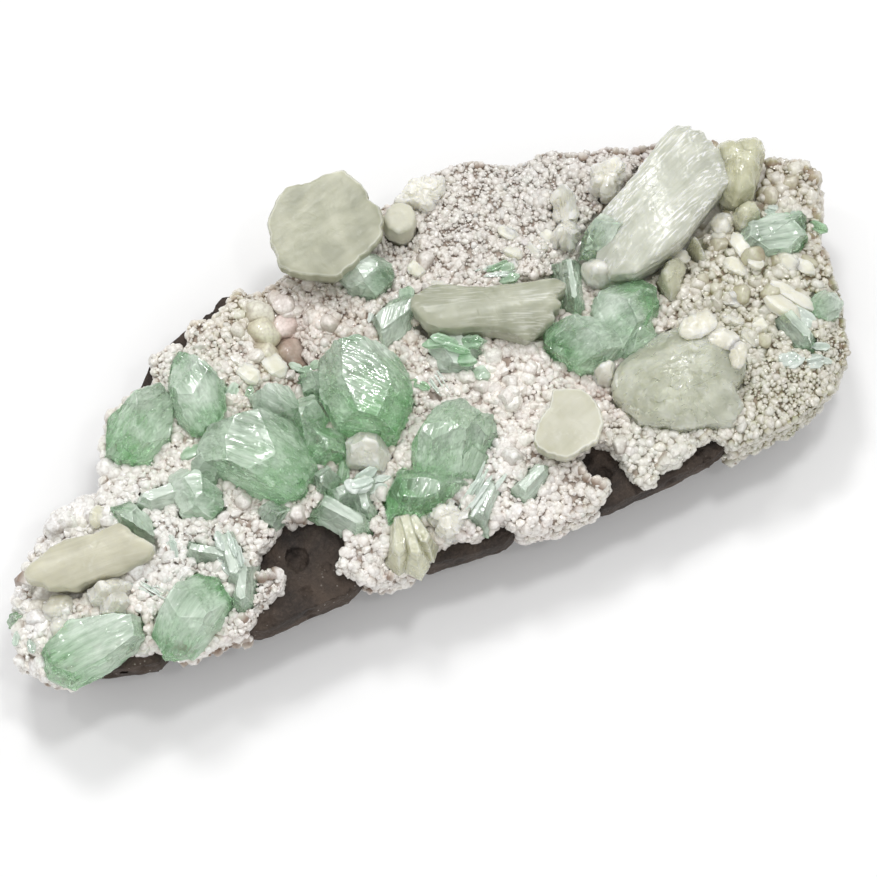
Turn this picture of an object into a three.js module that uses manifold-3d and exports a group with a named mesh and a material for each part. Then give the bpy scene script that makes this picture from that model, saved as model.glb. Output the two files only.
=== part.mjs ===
// Apophyllite on heulandite: a broken slab of dark basalt, one face of which is
// covered by a knobbly white heulandite crust that carries green apophyllite
// blocks and cream stilbite plates, blades and sheaves.
//
// Millimetres, +Z up. The slab lies on its flat broken base at z = 0, +X runs
// along its long axis, and the crystals stand on its upper face.

import * as THREE from 'three';
import { ConvexGeometry } from 'three/addons/geometries/ConvexGeometry.js';
import { mergeVertices } from 'three/addons/utils/BufferGeometryUtils.js';
import Module from 'manifold-3d';

const wasm = await Module();
wasm.setup();

// ---------------------------------------------------------------- dimensions

const GAP = 0.3; // clearance kept between neighbouring solids
const WELD = 1e-4; // vertices closer than this are one

const ROCK_TOP = 16.6; // mean height of the basalt under the crust
const ROCK_ROUGHNESS = 0.6; // how far its top swells and sinks
const ROCK_CELL = 16; // facet size of its top
const ROCK_STEP = 12; // facet size around its sides
const ROCK_COVER = 2.2; // how far the crust hangs over it where it wraps the rim
const ROCK_CHIP = 0.8; // raggedness of the broken sides
const ROCK_SAG = 1; // how far its rings rise and fall
const ROCK_BARE = 0.3; // share of the inset that a bare rim is spared
// Height and inset of each ring of the broken sides: the slab narrows downwards.
const ROCK_RINGS = [[0, 8], [5.5, 3.6], [12, 0.4], [24, 0.9]];

const CRUST_TOP = 20.4; // mean height of the crust
const CRUST_SWELL = 0.9; // its slow rise and fall
const CRUST_CELL = 4.7; // spacing of the crust's facets
const CRUST_STEP = 8; // facet size around its edge
const CRUST_CHIP = 0.35; // raggedness of its edge
const LUMP_HEIGHT = [0.55, 1.1]; // least and greatest rise of a lump
const LUMP_DIP = 0.4; // greatest fall between lumps
const RIM_WIDTH = 6; // the crust rounds over within this distance of the edge
const RIM_DROP = 2.8; // and falls by this much
const SKIRT_LOW = 10.5; // lowest reach of the crust down the slab's sides
const SKIRT_WAVE = 3.5; // how far that reach varies
const SKIRT_CELL = 16; // facet size of that lower edge
const FIELD = { west: -96, south: -52, east: 102, north: 54 }; // covers the slab
const CRUST_RINGS = [[4, 0.8], [15, 0], [40, 2.4]];

const FOOT = 18.4; // how deep the crystals are rooted in the crust

// The slab's middle line, towards which its broken sides draw in.
const SPINE = [[-64, -17], [-30, -5], [8, -3], [66, -9]];

// The slab from above, clockwise from its pointed left end. The third value is
// 1 where the basalt itself shows at the rim and 0 where the crust wraps it.
const SLAB = [
  [-78, -19, 0], [-76, -12.5, 0], [-71, -6, 0], [-68.5, -2.5, 0], [-63, 2, 0],
  [-58, 3, 0], [-54.5, 3, 0], [-52, 6.5, 0], [-47.5, 13.5, 0], [-42, 16.5, 1],
  [-37, 22, 1], [-32, 24, 1], [-26, 25.5, 1], [-20.5, 28, 1], [-17, 27.5, 1],
  [-13, 25.5, 0], [-6, 27, 0], [2, 28.5, 0], [10, 31, 0], [15, 30.5, 0],
  [22.5, 33, 0], [30, 32, 0], [37, 28.5, 0], [44, 28, 0], [54, 24, 0],
  [64, 20.5, 0], [71, 17, 0], [78, 10.5, 0], [84, 7.5, 0], [85, 4, 0],
  [82.5, -1, 0], [80, -8.5, 0], [78.5, -18, 0], [74, -28.5, 0], [69.5, -33, 0],
  [60, -36, 0], [48, -36.2, 0], [44, -36, 1], [33, -36, 1], [29, -36, 1],
  [23, -36, 1], [16, -35.6, 0], [9, -35, 0], [5, -34.6, 1], [-8, -32.7, 1],
  [-17, -31.8, 0], [-23, -31.6, 1], [-31, -31, 1], [-38, -31.4, 1], [-44, -31, 0],
  [-51, -30, 0], [-56, -29, 1], [-68, -25.6, 1], [-74, -24, 0],
];

// The crust's edge from above, with a bay wherever the basalt shows.
const CRUST = [
  [-78, -19], [-76, -12.5], [-71, -6], [-68.5, -2.5], [-63, 2], [-58, 3],
  [-54.5, 3], [-52, 6.5], [-47.5, 14.5], [-41.3, 16.2], [-38.2, 16.5], [-36.2, 21.5],
  [-32.5, 21.8], [-29.5, 20.4], [-28.2, 23.8], [-24, 23], [-21, 24.5], [-18, 26.2],
  [-14, 25], [-6, 27], [2, 28.5], [10, 31], [15, 30.5], [22.5, 33], [30, 32],
  [37, 28.5], [44, 28], [54, 24], [64, 20.5], [71, 17], [78, 10.5], [84, 7.5],
  [85, 4], [82.5, -1], [80, -8.5], [78.5, -18], [74, -28.5], [69.5, -33],
  [60, -36], [48, -36.2], [45.4, -32.4], [41, -33], [36, -33.8], [32.5, -36],
  [29.8, -34.5], [29, -27.5], [26, -24.8], [21.8, -26.5], [22.5, -30.5],
  [25, -33.8], [21, -36], [9, -34.8], [6.5, -31], [1, -32], [-4, -30],
  [-8.5, -31], [-12, -32.4], [-18, -31.6], [-22.3, -27.6], [-18.6, -24],
  [-19.4, -19], [-22, -16.9], [-28, -16.5], [-33.4, -19], [-36, -22.2],
  [-31.4, -24.6], [-33, -26.8], [-38, -28], [-41, -31], [-51, -30],
  [-55.5, -27], [-61, -25], [-67, -24.2], [-71, -25], [-74, -24],
];

// Rounded nodules that stand out of the crust: x, y, radius, height.
const NODULES = [
  [62, -2, 2.6, 1.6], [66, -7, 2.8, 1.7], [70, -9, 2.4, 1.4], [75, -11, 2.6, 1.6],
  [61, -12, 3, 1.8], [66, -14, 2.6, 1.5], [56, -7, 2.6, 1.5], [61, -21, 2.4, 1.3],
  [75, 3, 2.6, 1.4], [80, 4, 2.8, 1.6], [59, 13, 2.4, 1.2], [31, -6, 2.4, 1.3],
  [13, -8, 2.8, 1.5], [18, -10, 2.6, 1.3], [22, -9, 2.4, 1.4], [14, 17, 2.8, 1.6],
  [-20, 13, 2.6, 1.6], [-21, 19, 2.4, 1.4], [-63, 0, 3, 1.8], [-72, -14, 2.8, 1.7],
  [-67, -15, 2.6, 1.6], [-54, -13, 2.4, 1.2], [-57, -1, 2.8, 1.6], [-33, -10, 2.4, 1.3],
  [-25, -16, 2.6, 1.3], [-6, 13, 2.8, 1.6], [12, -22, 2.8, 1.5], [30, -28, 2.6, 1.4],
];

// The deep pit in the crust near the upper left edge: x, y, radius, depth.
const PITS = [[-14.5, 16, 5.2, 3.2], [-12, 10.5, 3.4, 1.8]];

// Gas bubbles that the break cut open in the basalt: x, y, z, radius.
const VESICLES = [
  [-28, -22, 17.2, 2.2], [-24, -25.5, 17.4, 1.4], [26, -30, 17, 1.8], [-62, -26, 14, 1.5],
  [-29, -30.5, 9, 1.8], [56, -32.5, 7, 2], [76, -18, 7, 1.7], [45, 22, 7.5, 1.9],
  [-45, 9, 8.5, 1.8], [-24, 4, 0, 2.6],
];

// ------------------------------------------------------------------ crystals

// A crystal is the outline it shows from above at its widest level, the girdle,
// closed by facets. `axis` is its long direction in degrees from +X: outline
// sides that face along it are ends and lean in by `end` degrees, the others by
// `wall`. Steep walls run straight down to the foot; below the girdle shallow
// ones turn upright, or draw in by `under` degrees. `dip` tilts the top face, as
// its rise along X and along Y.
const crystal = (outline, girdle, top, axis = 0, options = {}) => ({
  outline, girdle, top, axis, wall: 10, end: 42, under: 0, foot: FOOT, dip: [0, 0],
  ...options,
});
const STEEP = 18; // walls that lean less than this need no girdle

// A lath with a roofed back and a chisel point, from its root to its tip.
const blade = (from, to, width, girdle, top, options = {}) => {
  const point = options.point ?? 1.4;
  const length = Math.hypot(to[0] - from[0], to[1] - from[1]);
  const along = [(to[0] - from[0]) / length, (to[1] - from[1]) / length];
  const across = [-along[1] * width / 2, along[0] * width / 2];
  const shoulder = [to[0] - along[0] * point, to[1] - along[1] * point];
  const outline = [
    [from[0] + across[0], from[1] + across[1]],
    [shoulder[0] + across[0], shoulder[1] + across[1]],
    to,
    [shoulder[0] - across[0], shoulder[1] - across[1]],
    [from[0] - across[0], from[1] - across[1]],
  ];
  const axis = THREE.MathUtils.radToDeg(Math.atan2(along[1], along[0]));
  return crystal(outline, girdle, top, axis, { wall: 14, end: 16, ...options });
};

// A rounded knob: an eight-sided crystal with leaning walls.
const knob = (x, y, radius, girdle, top, options = {}) => {
  const outline = Array.from({ length: 8 }, (_, i) => {
    const angle = (i + 0.5) * Math.PI / 4;
    return [x + radius * Math.cos(angle), y + radius * Math.sin(angle)];
  });
  return crystal(outline, girdle, top, 0, { wall: 34, end: 34, ...options });
};

const LATH = { wall: 17, end: 17 };
const SHEAF = { wall: 9, end: 12, point: 1.8 };
const PLATE = { wall: 16, end: 36 };
const OVERHANG = { wall: 26, end: 38, under: 30 };

// Every crystal or group of crystals grown into each other, foremost first: a
// later one makes room for those before it.
const APOPHYLLITE = {
  west_block: [
    crystal([[-36.5, -1], [-35.5, 1.6], [-33, 4], [-23.7, 2.2], [-19.2, -1], [-18.9, -10],
      [-23, -13.4], [-26, -13.4], [-31.5, -7.8]], 23.5, 29.4, -42, { dip: [0.05, -0.1] }),
    crystal([[-24.5, 3.6], [-24, 6.4], [-17.6, 5.4], [-16.3, 0.3], [-19, -1.5], [-23, 1]],
      23, 28.6, 0, { end: 30 }),
    crystal([[-19, -6], [-19, -1], [-16.6, 2.5], [-14.2, 2], [-13.7, -3.2], [-16.2, -5.5]],
      22.6, 27.8, 90, { end: 34 }),
    crystal([[-19.5, -2.5], [-13.6, -4.6], [-12, -7], [-13.4, -9.9], [-19, -8.7]],
      22, 25.2, 0, { dip: [-0.1, 0.08] }),
    crystal([[-38.4, -2.8], [-38, -0.4], [-34, 0.8], [-33, -3], [-35.5, -5]], 22, 25.8, 30),
  ],
  centre_block: [
    crystal([[-13.1, 1], [-10.8, 6.9], [-7.4, 7.6], [-3, 6.7], [0.8, 4.6], [2.2, -1.8],
      [0.9, -6.2], [-4.4, -10.7], [-7.9, -8.6], [-12.8, -5]], 24, 30.6, -25,
    { wall: 9, end: 30, dip: [-0.04, 0.12] }),
    crystal([[-15.2, 3.4], [-14.8, 6.2], [-11, 5.4], [-11, 2], [-13.6, 2.2]], 22.6, 26.4, 0),
  ],
  lower_cluster: [
    crystal([[8.7, -9.2], [10.3, -13.2], [2.6, -21.5], [-3, -21.2], [-4.6, -18.6],
      [-2.4, -13.6], [2.4, -9.9], [6, -8.6]], 23.5, 29, 50, { end: 46, dip: [0.04, 0.04] }),
    crystal([[-1.8, -18.6], [2.8, -23], [-2.7, -25], [-9.6, -25.4], [-11.8, -24.2],
      [-11, -20.6], [-6.4, -16.6]], 22.8, 27.4, 20, { end: 34 }),
    crystal([[9.6, -12.6], [12.4, -14], [11.6, -17.4], [7.5, -19.2], [4.6, -16.4]], 22.6, 26.6, 30),
    crystal([[1.6, -17], [5.6, -16.4], [8.2, -20.2], [5, -22.6], [1.4, -21.6]], 22, 25.6, -40),
  ],
  east_cluster: [
    crystal([[35.8, -4.4], [38, -2.2], [41.4, -1.2], [46.6, -2.8], [47.8, -5.2], [46.8, -8],
      [43.2, -10.9], [37.6, -13], [35.6, -9]], 23, 28.6, 28, { end: 44, dip: [0.05, 0] }),
    crystal([[25.7, -6.4], [27.4, -3.8], [31.4, -4.2], [37.4, -7.2], [38.9, -10.4],
      [37.8, -12.6], [33.4, -13.6], [29, -12.5]], 23.5, 29.4, -22, { end: 44 }),
    crystal([[38.4, -10.3], [44.9, -9.4], [44.4, -13], [40, -15.4], [37.6, -13.4]], 21.8, 24.8, -30),
  ],
  west_tip: [
    crystal([[-50.4, 7.4], [-47.6, 13], [-41, 14.8], [-37, 15.2], [-36.2, 11], [-39.3, 5.8],
      [-44.7, 3.9], [-48, 4.6]], 22.4, 27.4, 15, { end: 46, dip: [-0.02, 0.06] }),
  ],
  north_lath: [
    crystal([[-31.8, 19], [-33.6, 17.8], [-35.9, 13], [-36.4, 8], [-35.2, 4.4], [-32.6, 3],
      [-28.8, 5.9], [-27.2, 10.6], [-29.1, 15.8]], 23, 27.8, 98, { end: 46 }),
  ],
  lower_west: [
    crystal([[-43.2, -3], [-42, -1.2], [-39.8, -0.7], [-37, -3.4], [-35.2, -7.4], [-36, -9.8],
      [-38.6, -10.8], [-42.8, -8]], 22.4, 26.6, -30, { end: 36 }),
    crystal([[-48.6, -3], [-47.4, -1.8], [-42, -2.2], [-41.6, -5.2], [-47, -4.8]], 21.6, 23.8, 0, LATH),
  ],
  lower_left: [
    crystal([[-55.6, -25.6], [-53.4, -22.6], [-48.6, -19.6], [-44.4, -18.8], [-41.8, -21.4],
      [-41.4, -25.4], [-47.2, -29.2], [-51.8, -30.8], [-55, -29.2]], 22.4, 27.6, 34,
    { end: 44, dip: [0, 0.05] }),
  ],
  corner_plate: [
    crystal([[-73.4, -20], [-67, -17.2], [-59.7, -19.2], [-55.8, -21.2], [-56.9, -24.8],
      [-64.1, -26.6], [-71.2, -27], [-73.8, -24.4]], 20.8, 23.8, 2, { end: 26, foot: 17.9 }),
  ],
  under_plate: [
    crystal([[-0.6, 20.9], [2.6, 22.9], [6.6, 21.4], [8.3, 18.6], [7.2, 15.8], [3.2, 14.4],
      [-0.3, 17.4]], 22.8, 26.4, -20, { end: 34 }),
  ],
  middle_pale: [
    crystal([[5.4, 12.8], [9.4, 12.4], [8.4, 8.8], [5.2, 6.2], [1, 5.2], [0.8, 10.4]],
      21.6, 24.6, 60, { end: 34 }),
  ],
  waist_pale: [
    crystal([[7.4, 2.2], [10.4, 3.4], [15.4, -0.4], [15.8, -2.6], [12, -5.4], [8, -2.4]],
      21.6, 24.4, -30, { end: 34 }),
  ],
  left_small: [
    crystal([[-53.4, -1.6], [-49.9, -2.2], [-47.8, -6.8], [-48.6, -9.4], [-51, -8], [-52.8, -5.4]],
      21.8, 25, -60),
  ],
  neck_small: [
    crystal([[-19.8, -10.6], [-17.2, -10], [-15.8, -13.4], [-18, -15.6], [-20.2, -14.4]],
      21.6, 25, -60, { end: 34 }),
  ],
  stack_small: [
    crystal([[-30.6, -12.6], [-28, -12.2], [-26, -14.7], [-29.8, -16.4], [-31.4, -14.6]], 21.4, 23.8, 0),
  ],
  corner_bead: [knob(-75.2, -12.2, 1.7, 17.6, 19.6, { foot: 15.4 })],
  east_spread: [
    crystal([[65.6, -3.4], [67, -1.2], [72, -0.6], [76.4, -2.4], [77, -7], [72, -9], [67.4, -7.2]],
      21.8, 24.2, 10, { end: 28 }),
    blade([70, -4], [78.6, -3.2], 2.6, 21.6, 24.4, LATH),
  ],
  east_ball: [knob(74, -19.6, 3, 20.8, 24.8)],
  east_lath: [blade([66.2, -18.2], [67.9, -25.8], 3.2, 21.4, 24, LATH)],
  tie_lath: [blade([36.2, 6], [33.2, -3.2], 3, 22.6, 26, LATH)],
  sheaf_back: [
    crystal([[39.4, 5.6], [41.4, 8.8], [45.6, 10.6], [48.2, 8.6], [47, 5.4], [42.4, 3.8]],
      26, 30.6, 35, { foot: 21 }),
  ],
  foot_lath_west: [blade([1.6, -30], [7.4, -24.6], 3.4, 21.2, 24, LATH)],
  foot_lath_east: [blade([10.2, -28.8], [17, -26], 3, 21.2, 23.8, LATH)],
  pale_blades: [
    blade([-37.8, -14.2], [-38.9, -23.4], 3.2, 21.6, 24.4, LATH),
    blade([-44.4, -14], [-37.6, -18.8], 2.6, 21.4, 23.8, LATH),
    blade([-36.8, -20.6], [-40.4, -27.4], 3, 21.2, 23.8, LATH),
  ],
  pale_tangle: [
    blade([-21, -15.8], [-15.4, -23.6], 3.4, 21.4, 24.2, LATH),
    blade([-18.6, -16.4], [-10.6, -16.4], 3.2, 21.6, 24.6, LATH),
    blade([-13.6, -14.8], [-14.6, -22.2], 2.8, 21.4, 24, LATH),
  ],
};

const STILBITE = {
  big_plate: [
    crystal([[-9.4, 32.4], [-6, 36.2], [-2.3, 38.2], [2.7, 37.6], [7.2, 36.4], [9.2, 31.6],
      [10, 25], [7.6, 21.8], [1.4, 19.2], [-1.2, 18.1], [-5, 19.8], [-8.2, 22.2], [-9.8, 26]],
    25, 28.6, 10, { ...OVERHANG, foot: 19.6, dip: [0.02, 0.05] }),
    crystal([[-10.7, 29.2], [-9.6, 31.2], [0, 34], [6, 28], [-4, 22.6], [-9.4, 24.4]],
      24.2, 27.6, 0, { ...OVERHANG, foot: 20.5 }),
  ],
  plate_lobe: [knob(12.8, 24.9, 3, 22.6, 26)],
  pearly_sheaf: [
    blade([42.6, -0.6], [66.2, 5.6], 4.8, 24, 29.6, SHEAF),
    blade([41, 1.8], [67.8, 9], 5.2, 24, 30.6, SHEAF),
    blade([40.4, 4.2], [68, 13], 5.4, 24, 31.2, SHEAF),
    blade([40.8, 6.6], [64.6, 16.4], 5.2, 24, 30.7, SHEAF),
    blade([42.6, 8.8], [58.4, 16.2], 4.4, 24, 29.2, SHEAF),
  ],
  bow_tie: [
    blade([21, 4.4], [9.6, 9.4], 5, 23, 26.9, SHEAF),
    blade([22, 2.8], [7.8, 6.6], 5.2, 23, 27.8, SHEAF),
    blade([15, 6], [34, 3.4], 4.4, 23, 27.2, SHEAF),
    blade([14, 4.8], [33, 0.4], 5, 23, 28.1, SHEAF),
    blade([15, 3.6], [28.8, -3.6], 4.8, 23, 27.3, SHEAF),
  ],
  yellow_block: [
    crystal([[68.8, 12], [70.6, 16], [76.2, 15.4], [77.6, 11.4], [75, 7.2], [70.8, 3.4],
      [67.6, 3], [67.6, 8]], 24.2, 28.8, 60, { ...PLATE, dip: [0.03, 0.04] }),
  ],
  yellow_knob: [knob(68.8, 0.4, 2.7, 22.4, 25.8)],
  yellow_middle: [
    crystal([[55.2, 0.6], [57.6, 2.2], [60.6, 1.4], [60, -1.6], [57, -3]], 22.2, 25.4, 0, PLATE),
  ],
  yellow_lower: [
    crystal([[48.9, -3.4], [51, -1.6], [54.4, -1.4], [55.2, -3.4], [52.4, -6.6], [49.2, -6.8]],
      22.2, 25.8, 0, PLATE),
  ],
  dome: [
    crystal([[32.2, -19.6], [34.6, -15.4], [40, -13.2], [48.5, -12.8], [54.5, -16], [56.3, -21.5],
      [53, -26.6], [47.5, -31.4], [40.5, -29.8], [34.4, -25.8]], 22.6, 28.8, 30,
    { wall: 24, end: 24, bevels: [[3.6, 4.2, 58]] }),
    crystal([[46.8, -15.6], [49.4, -13.4], [53.6, -14.8], [55.2, -17.6], [50.4, -19.4]],
      24.6, 29.6, 30, PLATE),
    crystal([[50.4, -20.4], [56.2, -18.8], [57.2, -22.4], [54.4, -26], [50.2, -25.2]],
      23.6, 28, 0, PLATE),
    crystal([[44, -27.6], [51.4, -26.8], [52, -29.4], [47.4, -32.4], [43, -30.4]], 21.8, 25.6, 20, PLATE),
  ],
  dome_knob: [knob(33.4, -15.2, 2.1, 22.4, 25.4)],
  round_plate: [
    crystal([[22.2, -15.8], [25.2, -15.2], [27.6, -16.8], [28.8, -19.6], [28.5, -23.8],
      [26.5, -26.6], [20.7, -28], [17.2, -25.8], [15.8, -22], [18.8, -18.2]], 23.6, 26.4, 20,
    { ...OVERHANG, dip: [0.03, 0.06] }),
  ],
  leaf: [
    blade([-50, -8.2], [-68.6, -7], 4.8, 22.6, 26, SHEAF),
    blade([-49, -9.6], [-70.9, -9.4], 4.6, 22.6, 26.5, SHEAF),
    blade([-51, -11], [-68, -11.9], 3.8, 22.6, 25.6, SHEAF),
  ],
  cream_pair: [
    crystal([[-62.6, -16], [-62.4, -13.8], [-60, -13.4], [-57, -13.8], [-55.6, -15.6], [-59, -17.4]],
      22.6, 26, 0, PLATE),
    crystal([[-62.4, -19.2], [-61.4, -16.4], [-57, -15.8], [-56.8, -18.2], [-59.4, -19.4]],
      22, 25.4, 0, PLATE),
  ],
  sheaf_foot: [
    crystal([[37.6, 2.6], [39.2, 4.4], [42.6, 4.2], [44.8, 0.8], [42, -1], [39.2, -0.6]],
      23, 27, 0, PLATE),
  ],
  white_twin: [knob(40.5, 15.6, 2.5, 21.8, 24.6), knob(39, 11.3, 2.7, 21.6, 24.4)],
  rim_plate: [
    crystal([[14.4, 29], [17.5, 30.6], [22.2, 31.6], [23.8, 30], [22.1, 27.8], [17.8, 26.8]],
      20.6, 23.4, 10, PLATE),
  ],
  white_oval: [
    crystal([[49, 20], [51.6, 20], [52.2, 17.6], [50.6, 14.6], [48.2, 14.2], [47.2, 16.4]],
      22, 25.2, 70, PLATE),
  ],
  foot_plate: [
    crystal([[-5.2, -26.4], [-3.2, -25.6], [-0.5, -25.4], [0.2, -27.6], [-2.4, -29.6], [-4.6, -29.6]],
      21.6, 24.8, 0, PLATE),
  ],
  foot_fan: [
    blade([-9.6, -24], [-13.4, -31.6], 3.4, 21.4, 24.6),
    blade([-9.2, -24], [-10.6, -33.6], 3.2, 21.6, 25.2),
    blade([-8.4, -24.4], [-7.6, -31.8], 3.2, 21.4, 24.4),
  ],
  clear_cream: [
    crystal([[-12.8, -8], [-8.7, -6.8], [-6.9, -8.6], [-7.2, -12.9], [-9.4, -14.8], [-13.4, -12]],
      22.6, 26.8, 70, PLATE),
  ],
};

// -------------------------------------------------------------------- solids

/** Repeatable random numbers from 0 to 1. */
function randomStream(seed) {
  let state = seed;
  return () => {
    state = (state + 0x6d2b79f5) | 0;
    let mixed = Math.imul(state ^ (state >>> 15), 1 | state);
    mixed = (mixed + Math.imul(mixed ^ (mixed >>> 7), 61 | mixed)) ^ mixed;
    return ((mixed ^ (mixed >>> 14)) >>> 0) / 2 ** 32;
  };
}

/** A closed geometry as a solid that can be joined and cut. */
function solidFrom(geometry) {
  const bare = new THREE.BufferGeometry();
  bare.setAttribute('position', geometry.getAttribute('position'));
  bare.setIndex(geometry.getIndex());
  const welded = mergeVertices(bare, WELD);
  return new wasm.Manifold(new wasm.Mesh({
    numProp: 3,
    vertProperties: Float32Array.from(welded.getAttribute('position').array),
    triVerts: Uint32Array.from(welded.getIndex().array),
  }));
}

/** The main piece of a solid, without the slivers that a cut leaves loose. */
function mainPiece(solid) {
  const pieces = solid.decompose();
  return pieces.reduce((best, piece) => (piece.volume() > best.volume() ? piece : best));
}

/** A named mesh of a solid. */
function meshOf(name, solid, material) {
  const { vertProperties, triVerts } = mainPiece(solid).getMesh();
  const geometry = new THREE.BufferGeometry();
  geometry.setAttribute('position', new THREE.BufferAttribute(vertProperties, 3));
  geometry.setIndex(new THREE.BufferAttribute(triVerts, 1));
  geometry.computeVertexNormals();
  const mesh = new THREE.Mesh(geometry, material);
  mesh.name = name;
  return mesh;
}

/** The convex solid inside a set of planes, each moved out by `grow`. */
function solidInside(planes, grow) {
  const corners = [];
  const inside = (point) => planes.every(
    ({ normal, reach }) => normal.dot(point) <= reach + grow + 1e-6);
  for (let i = 0; i < planes.length; i += 1) {
    for (let j = i + 1; j < planes.length; j += 1) {
      const ij = planes[i].normal.clone().cross(planes[j].normal);
      for (let k = j + 1; k < planes.length; k += 1) {
        const volume = ij.dot(planes[k].normal);
        if (Math.abs(volume) > 1e-6) {
          const jk = planes[j].normal.clone().cross(planes[k].normal);
          const ki = planes[k].normal.clone().cross(planes[i].normal);
          const corner = jk.multiplyScalar(planes[i].reach + grow)
            .addScaledVector(ki, planes[j].reach + grow)
            .addScaledVector(ij, planes[k].reach + grow)
            .divideScalar(volume);
          const isNew = corners.every((other) => other.distanceTo(corner) > 1e-3);
          if (isNew && inside(corner)) corners.push(corner);
        }
      }
    }
  }
  return solidFrom(new ConvexGeometry(corners));
}

/** The planes of one crystal: walls above and below its girdle, top and foot. */
function crystalPlanes({ outline, girdle, top, axis, wall, end, under, foot, dip, bevels = [] }) {
  const points = outline.map(([x, y]) => new THREE.Vector2(x, y));
  const turn = Math.sign(THREE.ShapeUtils.area(points));
  const centre = points.reduce((sum, p) => sum.add(p), new THREE.Vector2())
    .divideScalar(points.length);
  const heading = THREE.MathUtils.degToRad(axis);
  const planes = [];
  const addPlane = (normal, point) => {
    normal.normalize();
    planes.push({ normal, reach: normal.dot(point) });
  };
  points.forEach((point, i) => {
    const along = points[(i + 1) % points.length].clone().sub(point).normalize();
    const outward = new THREE.Vector2(along.y, -along.x).multiplyScalar(turn);
    const facesEnd = Math.abs(outward.dot(new THREE.Vector2(Math.cos(heading), Math.sin(heading))));
    const lean = facesEnd > Math.cos(THREE.MathUtils.degToRad(52)) ? end : wall;
    const levels = [[0, 0, lean], ...bevels];
    for (const [inset, rise, slope] of levels) {
      const up = Math.tan(THREE.MathUtils.degToRad(slope));
      const at = point.clone().addScaledVector(outward, -inset);
      addPlane(new THREE.Vector3(outward.x, outward.y, up), new THREE.Vector3(at.x, at.y, girdle + rise));
    }
    if (under > 0 || lean > STEEP) {
      const down = -Math.tan(THREE.MathUtils.degToRad(under));
      addPlane(new THREE.Vector3(outward.x, outward.y, down), new THREE.Vector3(point.x, point.y, girdle));
    }
  });
  addPlane(new THREE.Vector3(-dip[0], -dip[1], 1), new THREE.Vector3(centre.x, centre.y, top));
  addPlane(new THREE.Vector3(0, 0, -1), new THREE.Vector3(centre.x, centre.y, foot));
  return planes;
}

/** Crystals that grew into each other, as one solid. */
function clusterSolid(crystals, grow = 0) {
  return wasm.Manifold.union(crystals.map((one) => solidInside(crystalPlanes(one), grow)));
}

/** The outline cut into even steps, each corner kept. */
function stepped(outline, step) {
  const points = [];
  outline.forEach((corner, i) => {
    const next = outline[(i + 1) % outline.length];
    const count = Math.max(1, Math.round(Math.hypot(next[0] - corner[0], next[1] - corner[1]) / step));
    for (let k = 0; k < count; k += 1) {
      points.push(corner.map((value, axis) => value + (next[axis] - value) * k / count));
    }
  });
  return points;
}

/** The solid through a stack of clockwise rings with the same number of points. */
function loft(clockwiseRings) {
  const rings = clockwiseRings.map((ring) => ring.toReversed());
  const count = rings[0].length;
  const positions = rings.flat().flatMap((point) => point.toArray());
  const faces = [];
  for (let level = 0; level + 1 < rings.length; level += 1) {
    for (let i = 0; i < count; i += 1) {
      const [a, b] = [level * count + i, level * count + (i + 1) % count];
      faces.push(a, b, a + count, b, b + count, a + count);
    }
  }
  const capOf = (ring) => THREE.ShapeUtils.triangulateShape(
    ring.map((point) => new THREE.Vector2(point.x, point.y)), []);
  const last = (rings.length - 1) * count;
  for (const [a, b, c] of capOf(rings[0])) faces.push(a, c, b);
  for (const [a, b, c] of capOf(rings.at(-1))) faces.push(last + a, last + b, last + c);
  const geometry = new THREE.BufferGeometry();
  geometry.setAttribute('position', new THREE.Float32BufferAttribute(positions, 3));
  geometry.setIndex(faces);
  return solidFrom(geometry);
}

/**
 * A block under a height function, on a triangular lattice over the slab. Every
 * third lattice point is an apex, so that no two apexes are neighbours.
 */
function heightBlock(heightAt, cell, floor, seed) {
  const random = randomStream(seed);
  const { west, south, east, north } = FIELD;
  const rowStep = cell * Math.sqrt(3) / 2;
  const columns = Math.ceil((east - west) / cell);
  const rows = Math.ceil((north - south) / rowStep);
  const positions = [];
  for (const isTop of [true, false]) {
    const jitter = isTop ? random : () => 0.5;
    for (let row = 0; row <= rows; row += 1) {
      for (let column = 0; column <= columns; column += 1) {
        const x = west + (column + (row % 2) / 2) * cell + (jitter() - 0.5) * cell * 0.5;
        const y = south + row * rowStep + (jitter() - 0.5) * cell * 0.5;
        const isApex = (column - Math.floor(row / 2) - row + 3 * rows) % 3 === 0;
        positions.push(x, y, isTop ? heightAt(x, y, isApex, random) : floor);
      }
    }
  }
  const width = columns + 1;
  const under = width * (rows + 1);
  const faces = [];
  for (let row = 0; row < rows; row += 1) {
    for (let column = 0; column < columns; column += 1) {
      const a = row * width + column;
      const [b, c, d] = [a + 1, a + width, a + width + 1];
      const pair = row % 2 ? [[a, b, d], [a, d, c]] : [[a, b, c], [b, d, c]];
      for (const [p, q, r] of pair) faces.push(p, q, r, under + p, under + r, under + q);
    }
  }
  const wallBetween = (p, q) => faces.push(p, under + p, q, q, under + p, under + q);
  for (let column = 0; column < columns; column += 1) {
    wallBetween(column, column + 1);
    wallBetween(rows * width + column + 1, rows * width + column);
  }
  for (let row = 0; row < rows; row += 1) {
    wallBetween((row + 1) * width, row * width);
    wallBetween(row * width + columns, (row + 1) * width + columns);
  }
  const geometry = new THREE.BufferGeometry();
  geometry.setAttribute('position', new THREE.Float32BufferAttribute(positions, 3));
  geometry.setIndex(faces);
  return solidFrom(geometry);
}

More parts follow.
